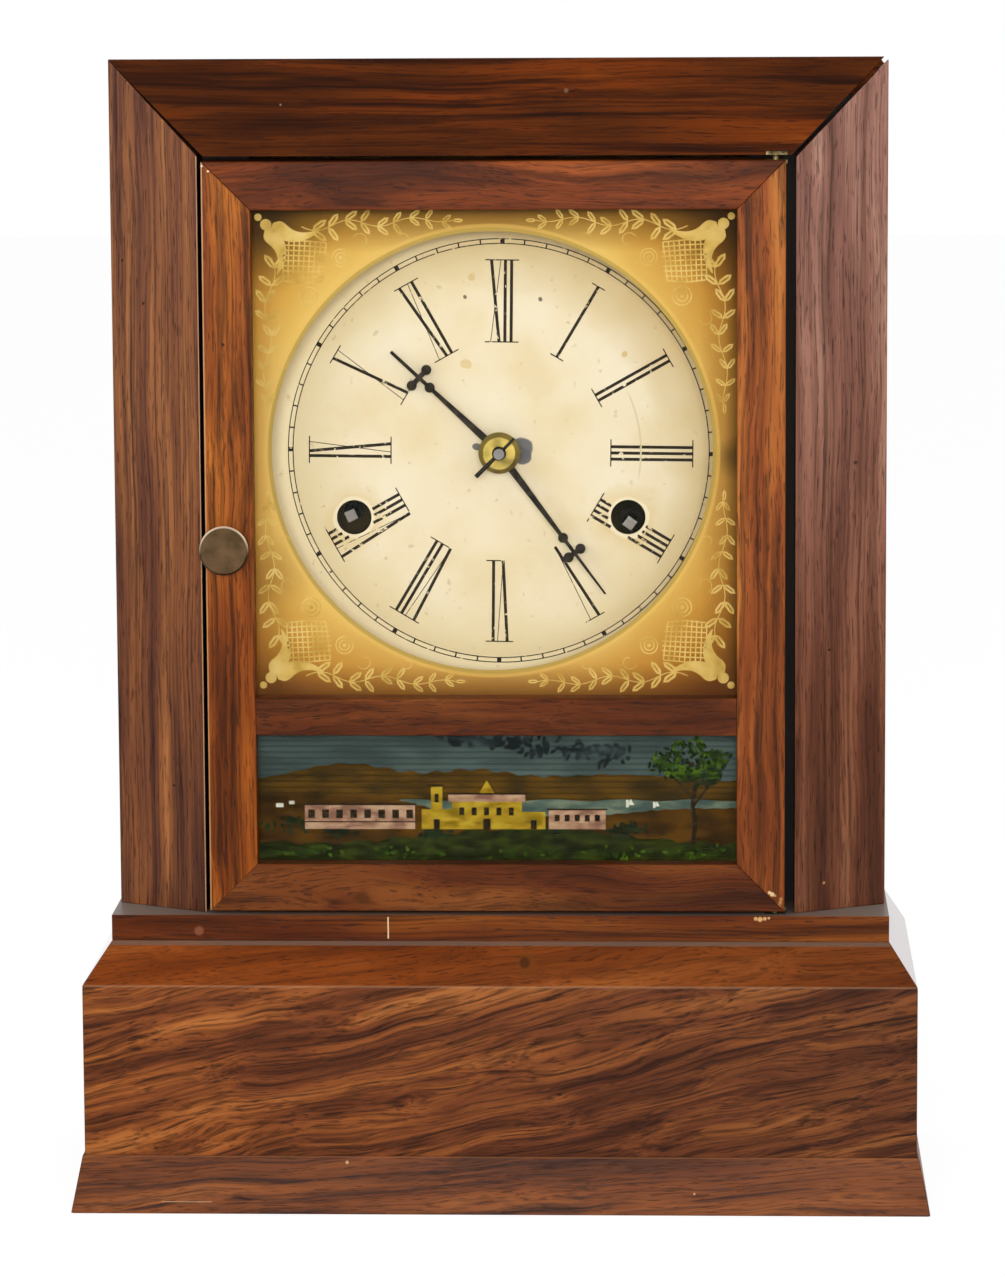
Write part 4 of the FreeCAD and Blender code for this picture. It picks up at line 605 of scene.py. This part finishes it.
# Painted shade: near black round the bore, where the hole is dark.
touch(collet, "#1d1810", spread(collet.node_tree, collet_place, (DIAL_X, 0, DIAL_Z), 2.0, 2.2, 1.0, 0.0))
touch(collet, "#2b2620", zone(collet, 1.0, Y=(-40, -25.13)))
paint(collet, "hand_collet")

# Latch knob: a turned bronze disc, brown from handling, with a painted highlight on the upper part of its
# rim. It turns the hook behind the door's left stile.
KNOB = (-80.65, 0, 198.2)
bronze = metal("handled_bronze", "#4c3a28", "#3e301f", 0.34, 5)
tree = bronze.node_tree
# Painted highlight: a pale line on the upper part of the rim.
wear_and_highlight = spread(tree, add(tree, "TexCoord", out="Object"), KNOB, 6.7, 7.0, 0.0, 1.0)
wear_and_highlight = add(tree, "Math", {0: wear_and_highlight, 1: fade(bronze, "Z", 197, 202, 0.9)}, operation="MULTIPLY")
touch(bronze, "#e2cdb0", wear_and_highlight)
paint(bronze, "latch_knob")

# Hinge plates: small brass plates let into the right corners of the door and its frame. Those of the door
# carry a pin, those of the frame an eye.
paint(metal("hinge_brass", "#80704a", "#3a3222", 0.5, 2), "hinge_eye_plates", "hinge_pin_plates")

# Panes: old cylinder glass, thin and nearly colourless. Pine beads hold the two panes in the door from
# behind.
glass, tree, shader = new_material("old_window_glass", {"Roughness": 0.04, "IOR": 1.52, "Alpha": 0.05})
wave = add(tree, "TexNoise", {"Vector": add(tree, "TexCoord", out="Object"), "Scale": 18, "Detail": 1})
tint = add(tree, "ValToRGB", {0: wave}, stops=((0.3, "#2c352c"), (0.7, "#3a4238")))
tree.links.new(tint, shader.inputs["Base Color"])
paint(glass, "dial_glass", "lower_glass")

# Upper tablet: the back of the pane is painted with a gold border round a clear circle, shaded to brown in
# the corners.
PANE_BACK_Y = -31.1
PANE_LEFT, PANE_RIGHT = -72.15, 70.55
UPPER_BOTTOM, UPPER_TOP = 153.6, 298.2
CIRCLE = (-1.85, 226.0)
CIRCLE_RADIUS = 65.3
LAP = 0.5
ORNAMENT_Y = PANE_BACK_Y + 0.02

# Bronze powder in varnish: a warm gold that takes on amber and brown where it was shaded with glaze. Near
# the door frame it is darkened further with painted shade.
gold, tree, shader = new_material("shaded_gold_tablet", {"Roughness": 0.6, "Specular IOR Level": 0.0})
still = add(tree, "TexCoord", out="Object")
cloud = add(tree, "TexNoise", {"Vector": still, "Scale": 38, "Detail": 3}, "Color")
place = stray(tree, cloud, (0.008, 0, 0.008), still)
away = spread(tree, place, (CIRCLE[0], 0, CIRCLE[1]), 65, 101, 0.0, 1.0)
colour = add(tree, "ValToRGB", {0: away},
             stops=((0.0, "#e9c46e"), (0.12, "#e1b65c"), (0.35, "#d4a247"), (0.65, "#b07d2e"),
                    (0.85, "#764d1c"), (1.0, "#4a2f13")))
tree.links.new(colour, shader.inputs["Base Color"])
# Darker near each edge of the opening, most at the top and the right: partly the glaze's own shading, partly
# painted shade of the door frame.
for axis, inner, edge, depth, shade in (("Z", UPPER_TOP - 13, UPPER_TOP - 3.5, 0.9, "#8c6222"),
                                        ("Z", UPPER_TOP - 3.5, UPPER_TOP, 0.9, "#563813"),
                                        ("X", PANE_RIGHT - 11, PANE_RIGHT - 2, 0.55, "#94682a"),
                                        ("X", PANE_RIGHT - 4, PANE_RIGHT, 0.5, "#4f360f"),
                                        ("X", PANE_LEFT + 6, PANE_LEFT, 0.5, "#b0742a"),
                                        ("Z", UPPER_BOTTOM + 9, UPPER_BOTTOM, 0.75, "#7a4f26")):
    touch(gold, shade, fade(gold, axis, inner, edge, depth))
# Darker towards the bottom.
touch(gold, "#e6d3c2", fade(gold, "Z", 180, 156, 1.0), "MULTIPLY")
for corner_x in (PANE_LEFT, PANE_RIGHT):
    touch(gold, "#2a1a0c", spread(tree, place, (corner_x, 0, UPPER_TOP), 6, 26, 0.85, 0.0))
# Painted shade: darker towards the right.
touch(gold, "#e8d8be", fade(gold, "X", 30, 70, 1.0), "MULTIPLY")
touch(gold, "#2a1c08", spread(tree, place, (PANE_RIGHT, 0, 224.5), 2, 7, 0.6, 0.0))
# Darker in a patch at the lower left edge.
touch(gold, "#94682b", spread(tree, place, (PANE_LEFT, 0, 189), 4, 17, 0.55, 0.0))
touch(gold, "#e4b85c", spread(tree, still, (CIRCLE[0], 0, CIRCLE[1]), 67.3, 67.7, 0.55, 0.0))
touch(gold, "#b89a4c", spread(tree, still, (CIRCLE[0], 0, CIRCLE[1]), 66.3, 66.6, 0.9, 0.0))

border = start_piece("upper_tablet_gold")
pane_middle = metres((PANE_LEFT + PANE_RIGHT) / 2, PANE_BACK_Y + 0.06, (UPPER_BOTTOM + UPPER_TOP) / 2)
bpy.ops.mesh.primitive_cube_add(size=0.001, location=pane_middle)
bpy.ops.transform.resize(value=(PANE_RIGHT - PANE_LEFT + 2 * LAP, 0.04, UPPER_TOP - UPPER_BOTTOM + 2 * LAP),
                         center_override=pane_middle)
bpy.ops.object.mode_set(mode="OBJECT")
bpy.ops.mesh.primitive_cylinder_add(vertices=180, radius=CIRCLE_RADIUS / 1000, depth=0.01,
                                    location=metres(CIRCLE[0], PANE_BACK_Y, CIRCLE[1]),
                                    rotation=FACE_FRONT)
punch = bpy.context.object
opening = border.modifiers.new("clear circle", "BOOLEAN")
opening.object = punch
bpy.context.view_layer.objects.active = border
bpy.ops.object.modifier_apply(modifier=opening.name)
bpy.data.objects.remove(punch)
finish_piece(border, gold, "door")

# Ornament of the upper tablet: in each corner a trellis panel with two comma leaves, dots and rosettes, and
# from it two leafy vines along the edges, stencilled in pale gold before the ground was laid behind them.
VINE_START = 14.5
VINE_LENGTH = 44.5
VINE_SWING = 1.5
STEM_STEPS = 28
LEAF_SLIT = (0.22, 0.66)
LEAF_Y = ORNAMENT_Y - 0.008


def corner(across, down):
    """A place of the pane, from the left and the top of its opening."""
    return (PANE_LEFT + across, UPPER_TOP - down)


def disc(centre, radius, y, sides=14):
    """A flat dot that faces the front, added to the mesh in edit mode."""
    bpy.ops.mesh.primitive_circle_add(vertices=sides, radius=radius / 1000, fill_type="NGON",
                                      location=metres(centre[0], y, centre[1]),
                                      rotation=FACE_FRONT)


def leaf(root, length, width, angle, y, slit=None):
    """A pointed leaf that grows from its root at a clockwise angle from the top, with an open slit in it if
    given as a share of its width and of its length."""
    turn = math.radians(angle)
    middle = metres(root[0] + length / 2 * math.sin(turn), y, root[1] + length / 2 * math.cos(turn))
    bpy.ops.mesh.select_all(action="DESELECT")
    bpy.ops.mesh.primitive_circle_add(vertices=6, radius=0.0005, fill_type="NOTHING" if slit else "NGON",
                                      location=middle, rotation=FACE_FRONT)
    if slit:
        bpy.ops.mesh.extrude_edges_move()
        bpy.ops.transform.resize(value=(slit[0], 1, slit[1]), center_override=middle)
        bpy.ops.mesh.select_linked()
    bpy.ops.transform.resize(value=(width, 1, length), center_override=middle)
    bpy.ops.transform.rotate(value=-turn, orient_axis="Y", center_override=middle)


def run(points, width, y):
    """A thin line through several places."""
    for start, end in zip(points, points[1:]):
        ribbon(start, end, width, y)


def vine(swap_axes, length):
    """A waving stem along one edge, with leaves in pairs that grow smaller towards its end, and two
    tendrils."""
    def spot(along, off):
        return corner(off, along) if swap_axes else corner(along, off)

    def lean(angle):
        return 180 - angle if swap_axes else angle - 90

    stem = []
    for i in range(STEM_STEPS + 1):
        share = i / STEM_STEPS
        wave = VINE_SWING * math.sin(share * 15) * (1 - 0.5 * share)
        stem.append(spot(VINE_START + length * share, 5.4 - 2.2 * share + wave))
    run(stem, 0.28, ORNAMENT_Y)
    for i in range(2, STEM_STEPS, 3):
        size = 5.4 - 2.0 * i / STEM_STEPS
        for side in (-1, 1):
            leaf(stem[i], size, size * 0.4, lean(180 + side * (54 if i % 2 else 36)), LEAF_Y, LEAF_SLIT)
    leaf(stem[-1], 3.2, 1.3, lean(180), LEAF_Y, LEAF_SLIT)
    for at, radius in ((11, 2.6), (19, 1.9)):
        hook = []
        for i in range(9):
            turn = math.radians(-60 + i * 32)
            curl = radius * (1 - i / 14)
            hook.append(spot(VINE_START + length * at / STEM_STEPS + curl * math.sin(turn),
                             7.6 + radius * 0.8 - curl * math.cos(turn)))
        run(hook, 0.22, ORNAMENT_Y)


def strip(name, steps, shape):
    """A new piece in edit mode: a strip of so many steps. Each point is placed by its share of the length and
    by its side, 1 above and -1 below."""
    piece = start_piece(name)
    bpy.ops.mesh.primitive_grid_add(x_subdivisions=steps, y_subdivisions=1, size=1,
                                    rotation=FACE_FRONT)
    bpy.ops.object.mode_set(mode="OBJECT")
    for vertex in piece.data.vertices:
        vertex.co = metres(*shape(vertex.co.x + 0.5, 1 if vertex.co.z > 0 else -1))
    bpy.ops.object.mode_set(mode="EDIT")
    return piece


def comma(name, path, width, y):
    """A swelling leaf: a strip that follows a bent path, round at its root and thin at its tip."""
    def shape(share, side):
        inverse = 1 - share
        place = [inverse ** 2 * a + 2 * inverse * share * b + share ** 2 * c for a, b, c in zip(*path)]
        way = [2 * inverse * (b - a) + 2 * share * (c - b) for a, b, c in zip(*path)]
        swell = min(1, share / 0.22)
        half = width * math.sqrt(swell * (2 - swell)) * inverse ** 0.8 + 0.12
        off = side * half / math.hypot(*way)
        x, z = corner(place[0] - way[1] * off, place[1] + way[0] * off)
        return x, y, z

    piece = strip(name, 24, shape)
    bpy.ops.mesh.select_all(action="SELECT")
    bpy.ops.mesh.normals_make_consistent(inside=False)
    return piece


# Pale gold leaf and size: a soft cream gold, a little lighter than the ground and broken by fine wear.
pale_gold, tree, shader = new_material("pale_gold_stencil", {"Roughness": 0.6, "Specular IOR Level": 0.0})
wear = add(tree, "TexCoord", out="Object")
wear = add(tree, "TexNoise", {"Vector": wear, "Scale": 160, "Detail": 4})
colour = add(tree, "ValToRGB", {0: wear}, stops=((0.35, "#c09a45"), (0.52, "#dab55f"), (0.7, "#e6c777")))
tree.links.new(colour, shader.inputs["Base Color"])

stencil = start_piece("upper_tablet_ornament")
disc(corner(1.7, 2.6), 1.1, ORNAMENT_Y)
disc(corner(4.0, 4.8), 1.7, ORNAMENT_Y)
for i in range(9):
    share = i / 8
    bulge = 0.9 * math.sin(math.pi * share)
    run([corner(9.2 + 12.6 * share, 9.3 - bulge * 0.4 + 0.9 * share),
         corner(9.0 + 12.2 * share, 15.2 + bulge * 0.6),
         corner(8.9 + 11.6 * share, 21.4 + bulge)], 0.42, ORNAMENT_Y)
    run([corner(9.2 - bulge * 0.4 + 0.1 * share, 9.3 + 12.1 * share),
         corner(15.4, 9.6 + 12.4 * share - bulge * 0.3),
         corner(21.8 + bulge - 1.2 * share, 10.2 + 11.4 * share)], 0.42, LEAF_Y)
for across, down, radius in ((26.0, 14.6, 2.7), (16.2, 26.0, 3.0)):
    for inner, outer in ((1.0, 0.87), (0.62, 0.48)):
        ring(radius * outer, radius * inner, corner(across, down), ORNAMENT_Y, 28)
    disc(corner(across, down), radius * 0.22, ORNAMENT_Y)
vine(False, VINE_LENGTH)
vine(True, VINE_LENGTH + 2)
bpy.ops.object.mode_set(mode="OBJECT")
commas = [comma("upper_comma", ((6.2, 4.3), (11.8, 11.2), (19.8, 6.4)), 2.7, ORNAMENT_Y + 0.005),
          comma("lower_comma", ((3.6, 6.6), (11.2, 11.4), (7.2, 19.4)), 2.7, ORNAMENT_Y + 0.01)]
bpy.ops.object.mode_set(mode="OBJECT")
select_only(*commas, stencil)
bpy.ops.object.join()
finish_piece(stencil, pale_gold, "door")
for name, flip in (("right", (-1, 1, 1)), ("low_left", (1, 1, -1)), ("low_right", (-1, 1, -1))):
    select_only(stencil)
    bpy.ops.object.duplicate()
    copy = bpy.context.object
    copy.name = "upper_tablet_ornament_" + name
    bpy.ops.object.mode_set(mode="EDIT")
    bpy.ops.mesh.select_all(action="SELECT")
    bpy.ops.transform.resize(value=flip, center_override=pane_middle)
    if flip != (-1, 1, -1):
        bpy.ops.mesh.flip_normals()
    finish_piece(copy, pale_gold, "door")

# Lower tablet: a small landscape painted on the back of the pane, nearest things first: a farm by a lake,
# with hills behind it and a tree on the right, under a slate blue sky ruled with fine lines. The dabs of a
# clump and the patches of a group lie a hair apart in depth.
LOWER_BOTTOM, LOWER_TOP = 103.6, 142.4
COAT = 0.01
HAIR_APART = 0.0002
RULING = 0.9


def layer(number):
    """Depth of a coat of paint behind the glass. Coat 0 was painted first and lies nearest to it."""
    return PANE_BACK_Y + COAT * (number + 1)


def oil_paint(name, low, mid, high, scale, lines=None):
    """Thin oil paint with brush marks of the given size in millimetres, and fine ruled lines if their colour
    is given."""
    material, tree, shader = new_material(name, {"Roughness": 0.6, "Specular IOR Level": 0.0})
    place = add(tree, "TexCoord", out="Object")
    strokes = add(tree, "Mapping", {"Vector": place, "Scale": (400 / scale, 1000 / scale, 1000 / scale)})
    cloud = add(tree, "TexNoise", {"Vector": strokes, "Scale": 1, "Detail": 4})
    colour = add(tree, "ValToRGB", {0: cloud}, stops=((0.36, low), (0.5, mid), (0.64, high)))
    if lines:
        ruled = add(tree, "TexWave", {"Vector": place, "Scale": 1000 / RULING / math.tau, "Distortion": 0.6,
                                      "Detail": 1}, bands_direction="Z", out=1)
        ruled = add(tree, "MapRange", {0: ruled, 1: 0.55, 2: 0.9, 3: 0.0, 4: 0.55})
        colour = add(tree, "Mix", {0: ruled, 6: colour, 7: linear(lines)}, data_type="RGBA", out=2)
    tree.links.new(colour, shader.inputs["Base Color"])
    return material


def ground(name, material, coat, left, right, skyline, foot, steps=72):
    """A stretch of land, water or sky: a grid whose upper edge follows a skyline, which gives height
    against X."""
    def shape(share, side):
        x = left + (right - left) * share
        return x, layer(coat), skyline(x) if side > 0 else foot

    finish_piece(strip(name, steps, shape), material, "door")


pane_left, pane_right = PANE_LEFT - LAP, PANE_RIGHT + LAP
low_edge, high_edge = LOWER_BOTTOM - LAP, LOWER_TOP + LAP
sky = oil_paint("slate_blue_sky_paint", "#374340", "#42504b", "#4f5e58", 9, "#2c3533")
far_hill = oil_paint("brown_hill_paint", "#302205", "#463007", "#593d0a", 4, "#281b04")
near_hill = oil_paint("umber_field_paint", "#2a1902", "#412703", "#573704", 4)
lake = oil_paint("pale_lake_paint", "#3e4f47", "#546354", "#6e7863", 3)
meadow = oil_paint("dark_meadow_paint", "#161805", "#222707", "#353d0c", 2.4)
ground("lower_tablet_sky", sky, 12, pane_left, pane_right, lambda x: high_edge, low_edge, 2)
ground("lower_tablet_far_hills", far_hill, 11, pane_left, pane_right,
       lambda x: 127 + 5.5 * math.exp(-((x + 46) / 20) ** 2) + 3.4 * math.exp(-((x + 8) / 15) ** 2)
       + 2.2 * math.exp(-((x - 34) / 26) ** 2) + 0.35 * math.sin(x * 0.9) + 0.25 * math.sin(x * 2.3),
       low_edge)
ground("lower_tablet_lake", lake, 10, -30, pane_right, lambda x: 121.4 - 0.3 * math.sin(x * 0.3),
       low_edge, 40)
ground("lower_tablet_fields", near_hill, 9, pane_left, pane_right,
       lambda x: 116.5 + 6.5 / (1 + math.exp((x + 24) / 6)) + 2.5 / (1 + math.exp((40 - x) / 6))
       + 0.3 * math.sin(x * 1.3), low_edge)
ground("lower_tablet_meadow", meadow, 8, pane_left, pane_right,
       lambda x: 110.5 + 2.2 * math.sin(x * 0.05 + 1.2) + 0.5 * math.sin(x * 0.55) + 0.25 * math.sin(x * 2.1),
       low_edge)


def dabs(name, material, coat, clumps, count, size, seed):
    """Leaves and bushes: short dabs of a pointed brush scattered over clumps of given place and size."""
    pick = random.Random(seed)
    piece = start_piece(name)
    for x, z, wide, high in clumps:
        for i in range(count):
            turn = pick.uniform(0, 2 * math.pi)
            reach = math.sqrt(pick.random())
            spot = (x + wide * reach * math.cos(turn), z + high * reach * math.sin(turn))
            leaf(spot, size * pick.uniform(0.7, 1.3), size * 0.55, pick.uniform(0, 360),
                 layer(coat) - HAIR_APART * i)
    finish_piece(piece, material, "door")


def patches(name, material, coat, rectangles, triangles=()):
    """Walls, roofs and windows: flat patches given by middle, width and height, and gables by middle and
    size."""
    piece = start_piece(name)
    for i, (x, z, wide, high) in enumerate(rectangles):
        ribbon((x, z - high / 2), (x, z + high / 2), wide, layer(coat) - HAIR_APART * i)
    for i, (x, z, size) in enumerate(triangles):
        disc((x, z), size, layer(coat) + HAIR_APART * (i + 1), 3)
    finish_piece(piece, material, "door")


leaf_green = oil_paint("leaf_green_paint", "#1a2805", "#2c460a", "#49650f", 1.5)
bush_green = oil_paint("bush_green_paint", "#0f160c", "#18220f", "#243017", 2)
straw = oil_paint("straw_yellow_paint", "#7d650c", "#a18118", "#b69a27", 2)
rose = oil_paint("rose_paint", "#815c49", "#a57e62", "#bb9977", 2)
soot = oil_paint("storm_cloud_paint", "#14181a", "#1e2426", "#2c3437", 3)
bark = oil_paint("bark_paint", "#17110a", "#2a1d0f", "#3d2b16", 1)
chalk = oil_paint("chalk_white_paint", "#c9c7ae", "#dad8c2", "#e6e4d2", 2)
FARM_Z = 112.6
dabs("lower_tablet_hedges", bush_green, 7, [(-64, 114, 8, 2.6), (-47, 112.6, 6, 2), (20, 113.2, 7, 1.6),
                                            (38, 112.4, 6, 1.8), (-20, 111.8, 4, 1.4)], 36, 2.0, 11)
dabs("lower_tablet_cloud", soot, 8, [(14, 137.5, 11, 2.2), (30, 135.4, 9, 2.4), (2, 139.4, 8, 1.6),
                                     (-12, 140.6, 7, 1.0)], 40, 2.4, 3)
patches("lower_tablet_walls", straw, 6, [(-4, FARM_Z + 4.2, 21, 8.4), (-19, FARM_Z + 3.0, 9, 6.0),
                                         (10, FARM_Z + 2.6, 7, 5.2), (-19, FARM_Z + 9.0, 3.4, 8.0)],
        [(-4, FARM_Z + 8.6, 6.2)])
patches("lower_tablet_roofs", rose, 5, [(-42, FARM_Z + 3.6, 33, 7.2), (-4, FARM_Z + 9.4, 23, 2.2),
                                        (23, FARM_Z + 2.9, 17, 5.8)])
WINDOWS = []
for count, first, gap, up, wide, high in ((8, -56.5, 4.2, 4.6, 2.0, 2.6), (5, -11.5, 3.7, 5.4, 1.5, 2.4),
                                          (5, 17, 3.0, 3.4, 1.5, 2.0)):
    WINDOWS += [(first + gap * i, FARM_Z + up, wide, high) for i in range(count)]
EAVES_AND_DOORS = [(x, FARM_Z + up, wide, high) for x, up, wide, high in (
    (-42, 7.5, 34, 0.6), (-42, 2.2, 33, 0.35), (23, 6.0, 18, 0.5), (-4, 10.7, 24, 0.5), (-19, 13.2, 4.4, 0.7),
    (-19, 9.4, 1.2, 2.6), (-4, 1.6, 2.2, 3.2), (10, 1.4, 1.8, 2.8), (-19, 1.5, 1.8, 3.0))]
FENCE = [(33 + 2.2 * i, FARM_Z - 1.2, 0.3, 2.0) for i in range(8)] + [(41, FARM_Z - 0.9, 17, 0.25)]
patches("lower_tablet_windows", bark, 4, WINDOWS + EAVES_AND_DOORS + FENCE)
patches("lower_tablet_sails", chalk, 4, [(38, 120.4, 0.8, 2.2), (46, 120.0, 0.7, 1.8), (-66, 119.8, 2.2, 1.2),
                                         (-62.4, 120.6, 1.6, 1.0)],
        [(39, 120.6, 1.2), (46.8, 120.1, 1.0)])
trunk = start_piece("lower_tablet_trunk")
run([(57.5, 108), (58.2, 114), (57.4, 120), (58.4, 127), (57.2, 133)], 1.3, layer(3))
run([(58.0, 120), (62.0, 125.5), (64.5, 131)], 0.7, layer(3) - 0.001)
run([(57.8, 122), (53.0, 127), (50.6, 131)], 0.6, layer(3) - 0.002)
finish_piece(trunk, bark, "door")
CROWN = [(57, 136, 7, 3.6), (50, 132.6, 5.4, 3.0), (64.5, 133, 5, 3.2), (54, 129.4, 4.6, 2),
         (62, 128.6, 4.4, 2)]
dabs("lower_tablet_crown_shade", bush_green, 2, CROWN, 44, 2.0, 5)
LIT_CROWN = [(x - 0.5, z + 0.8, wide * 0.86, high * 0.8) for x, z, wide, high in CROWN]
dabs("lower_tablet_crown_light", leaf_green, 1, LIT_CROWN, 30, 1.6, 8)
dabs("lower_tablet_reeds", leaf_green, 1, [(-58, 105.6, 12, 1.6), (-28, 105.2, 12, 1.4), (4, 105.6, 14, 1.6),
                                           (34, 105.2, 12, 1.4), (58, 106, 10, 1.6)], 26, 1.5, 21)


# Floor, light and camera: white paper under the clock and white all round, two weak softboxes at the sides
# and a strong one in front. The camera stands a little above the clock and to its right, as in the photo.
def seen(tree):
    """A factor that is 1 for what the camera sees, also by reflection and through glass."""
    factor = add(tree, "LightPath", out="Is Camera Ray")
    for ray in ("Is Glossy Ray", "Is Transmission Ray"):
        also = add(tree, "LightPath", out=ray)
        factor = add(tree, "Math", {0: factor, 1: also}, operation="MAXIMUM")
    return factor


bpy.ops.object.select_all(action="DESELECT")
bpy.ops.mesh.primitive_plane_add(size=8, location=(0, 0, -0.0002))
floor = bpy.context.object
floor.name = "floor"
floor_white, tree, shader = new_material("white_paper_floor", {"Roughness": 0.9, "IOR": 1.45})
shader.inputs["Base Color"].default_value = linear("#f2f2f2")
share = add(tree, "Math", {0: seen(tree), 1: 0.75}, operation="MULTIPLY")
glow = add(tree, "Emission", {"Strength": 1.2})
mixed = add(tree, "MixShader", {0: share, 1: shader.outputs[0], 2: glow})
tree.links.new(mixed, tree.nodes["Material Output"].inputs["Surface"])
floor.data.materials.append(floor_white)

world = bpy.data.worlds.new("white studio")
bpy.context.scene.world = world
world.use_nodes = True
tree = world.node_tree
level = add(tree, "MapRange", {0: seen(tree), 1: 0.0, 2: 1.0, 3: 0.3, 4: 1.0})
tree.links.new(level, tree.nodes["Background"].inputs["Strength"])
tree.nodes["Background"].inputs["Color"].default_value = (1, 1, 1, 1)


def softbox(name, place, target, size, power):
    """A rectangular lamp that faces a target."""
    bpy.ops.object.light_add(type="AREA", location=place)
    lamp = bpy.context.object
    lamp.name = name
    lamp.data.shape = "RECTANGLE"
    lamp.data.size, lamp.data.size_y = size
    lamp.data.energy = power
    direction = [t - p for t, p in zip(target, place)]
    flat = math.hypot(direction[0], direction[1])
    lamp.rotation_euler = (math.atan2(flat, -direction[2]), 0, math.atan2(-direction[0], direction[1]))


softbox("softbox_left", (-1.5, -1.4, 0.9), (0, 0, 0.17), (1.0, 1.4), 9)
softbox("softbox_right", (1.6, -1.2, 0.9), (0, 0, 0.17), (1.0, 1.4), 7)
softbox("softbox_front", (0.08, -2.4, 0.65), (0, 0, 0.2), (1.2, 0.6), 38.5)

CAMERA_PLACE = (61.51, -1609.32, 403.50)
YAW, PITCH, ROLL = 2.197, 8.402, -0.312
FOCAL_PIXELS = 5368.7
IMAGE_HEIGHT = 1277
SENSOR = 36
bpy.ops.object.camera_add(location=metres(*CAMERA_PLACE),
                          rotation=(math.radians(90 - PITCH), 0, math.radians(YAW)))
camera = bpy.context.object
camera.rotation_euler.rotate_axis("Z", math.radians(ROLL))
camera.data.lens = FOCAL_PIXELS / IMAGE_HEIGHT * SENSOR
camera.data.sensor_fit = "VERTICAL"
camera.data.sensor_height = SENSOR
bpy.context.scene.camera = camera
bpy.context.scene.view_settings.view_transform = "Standard"
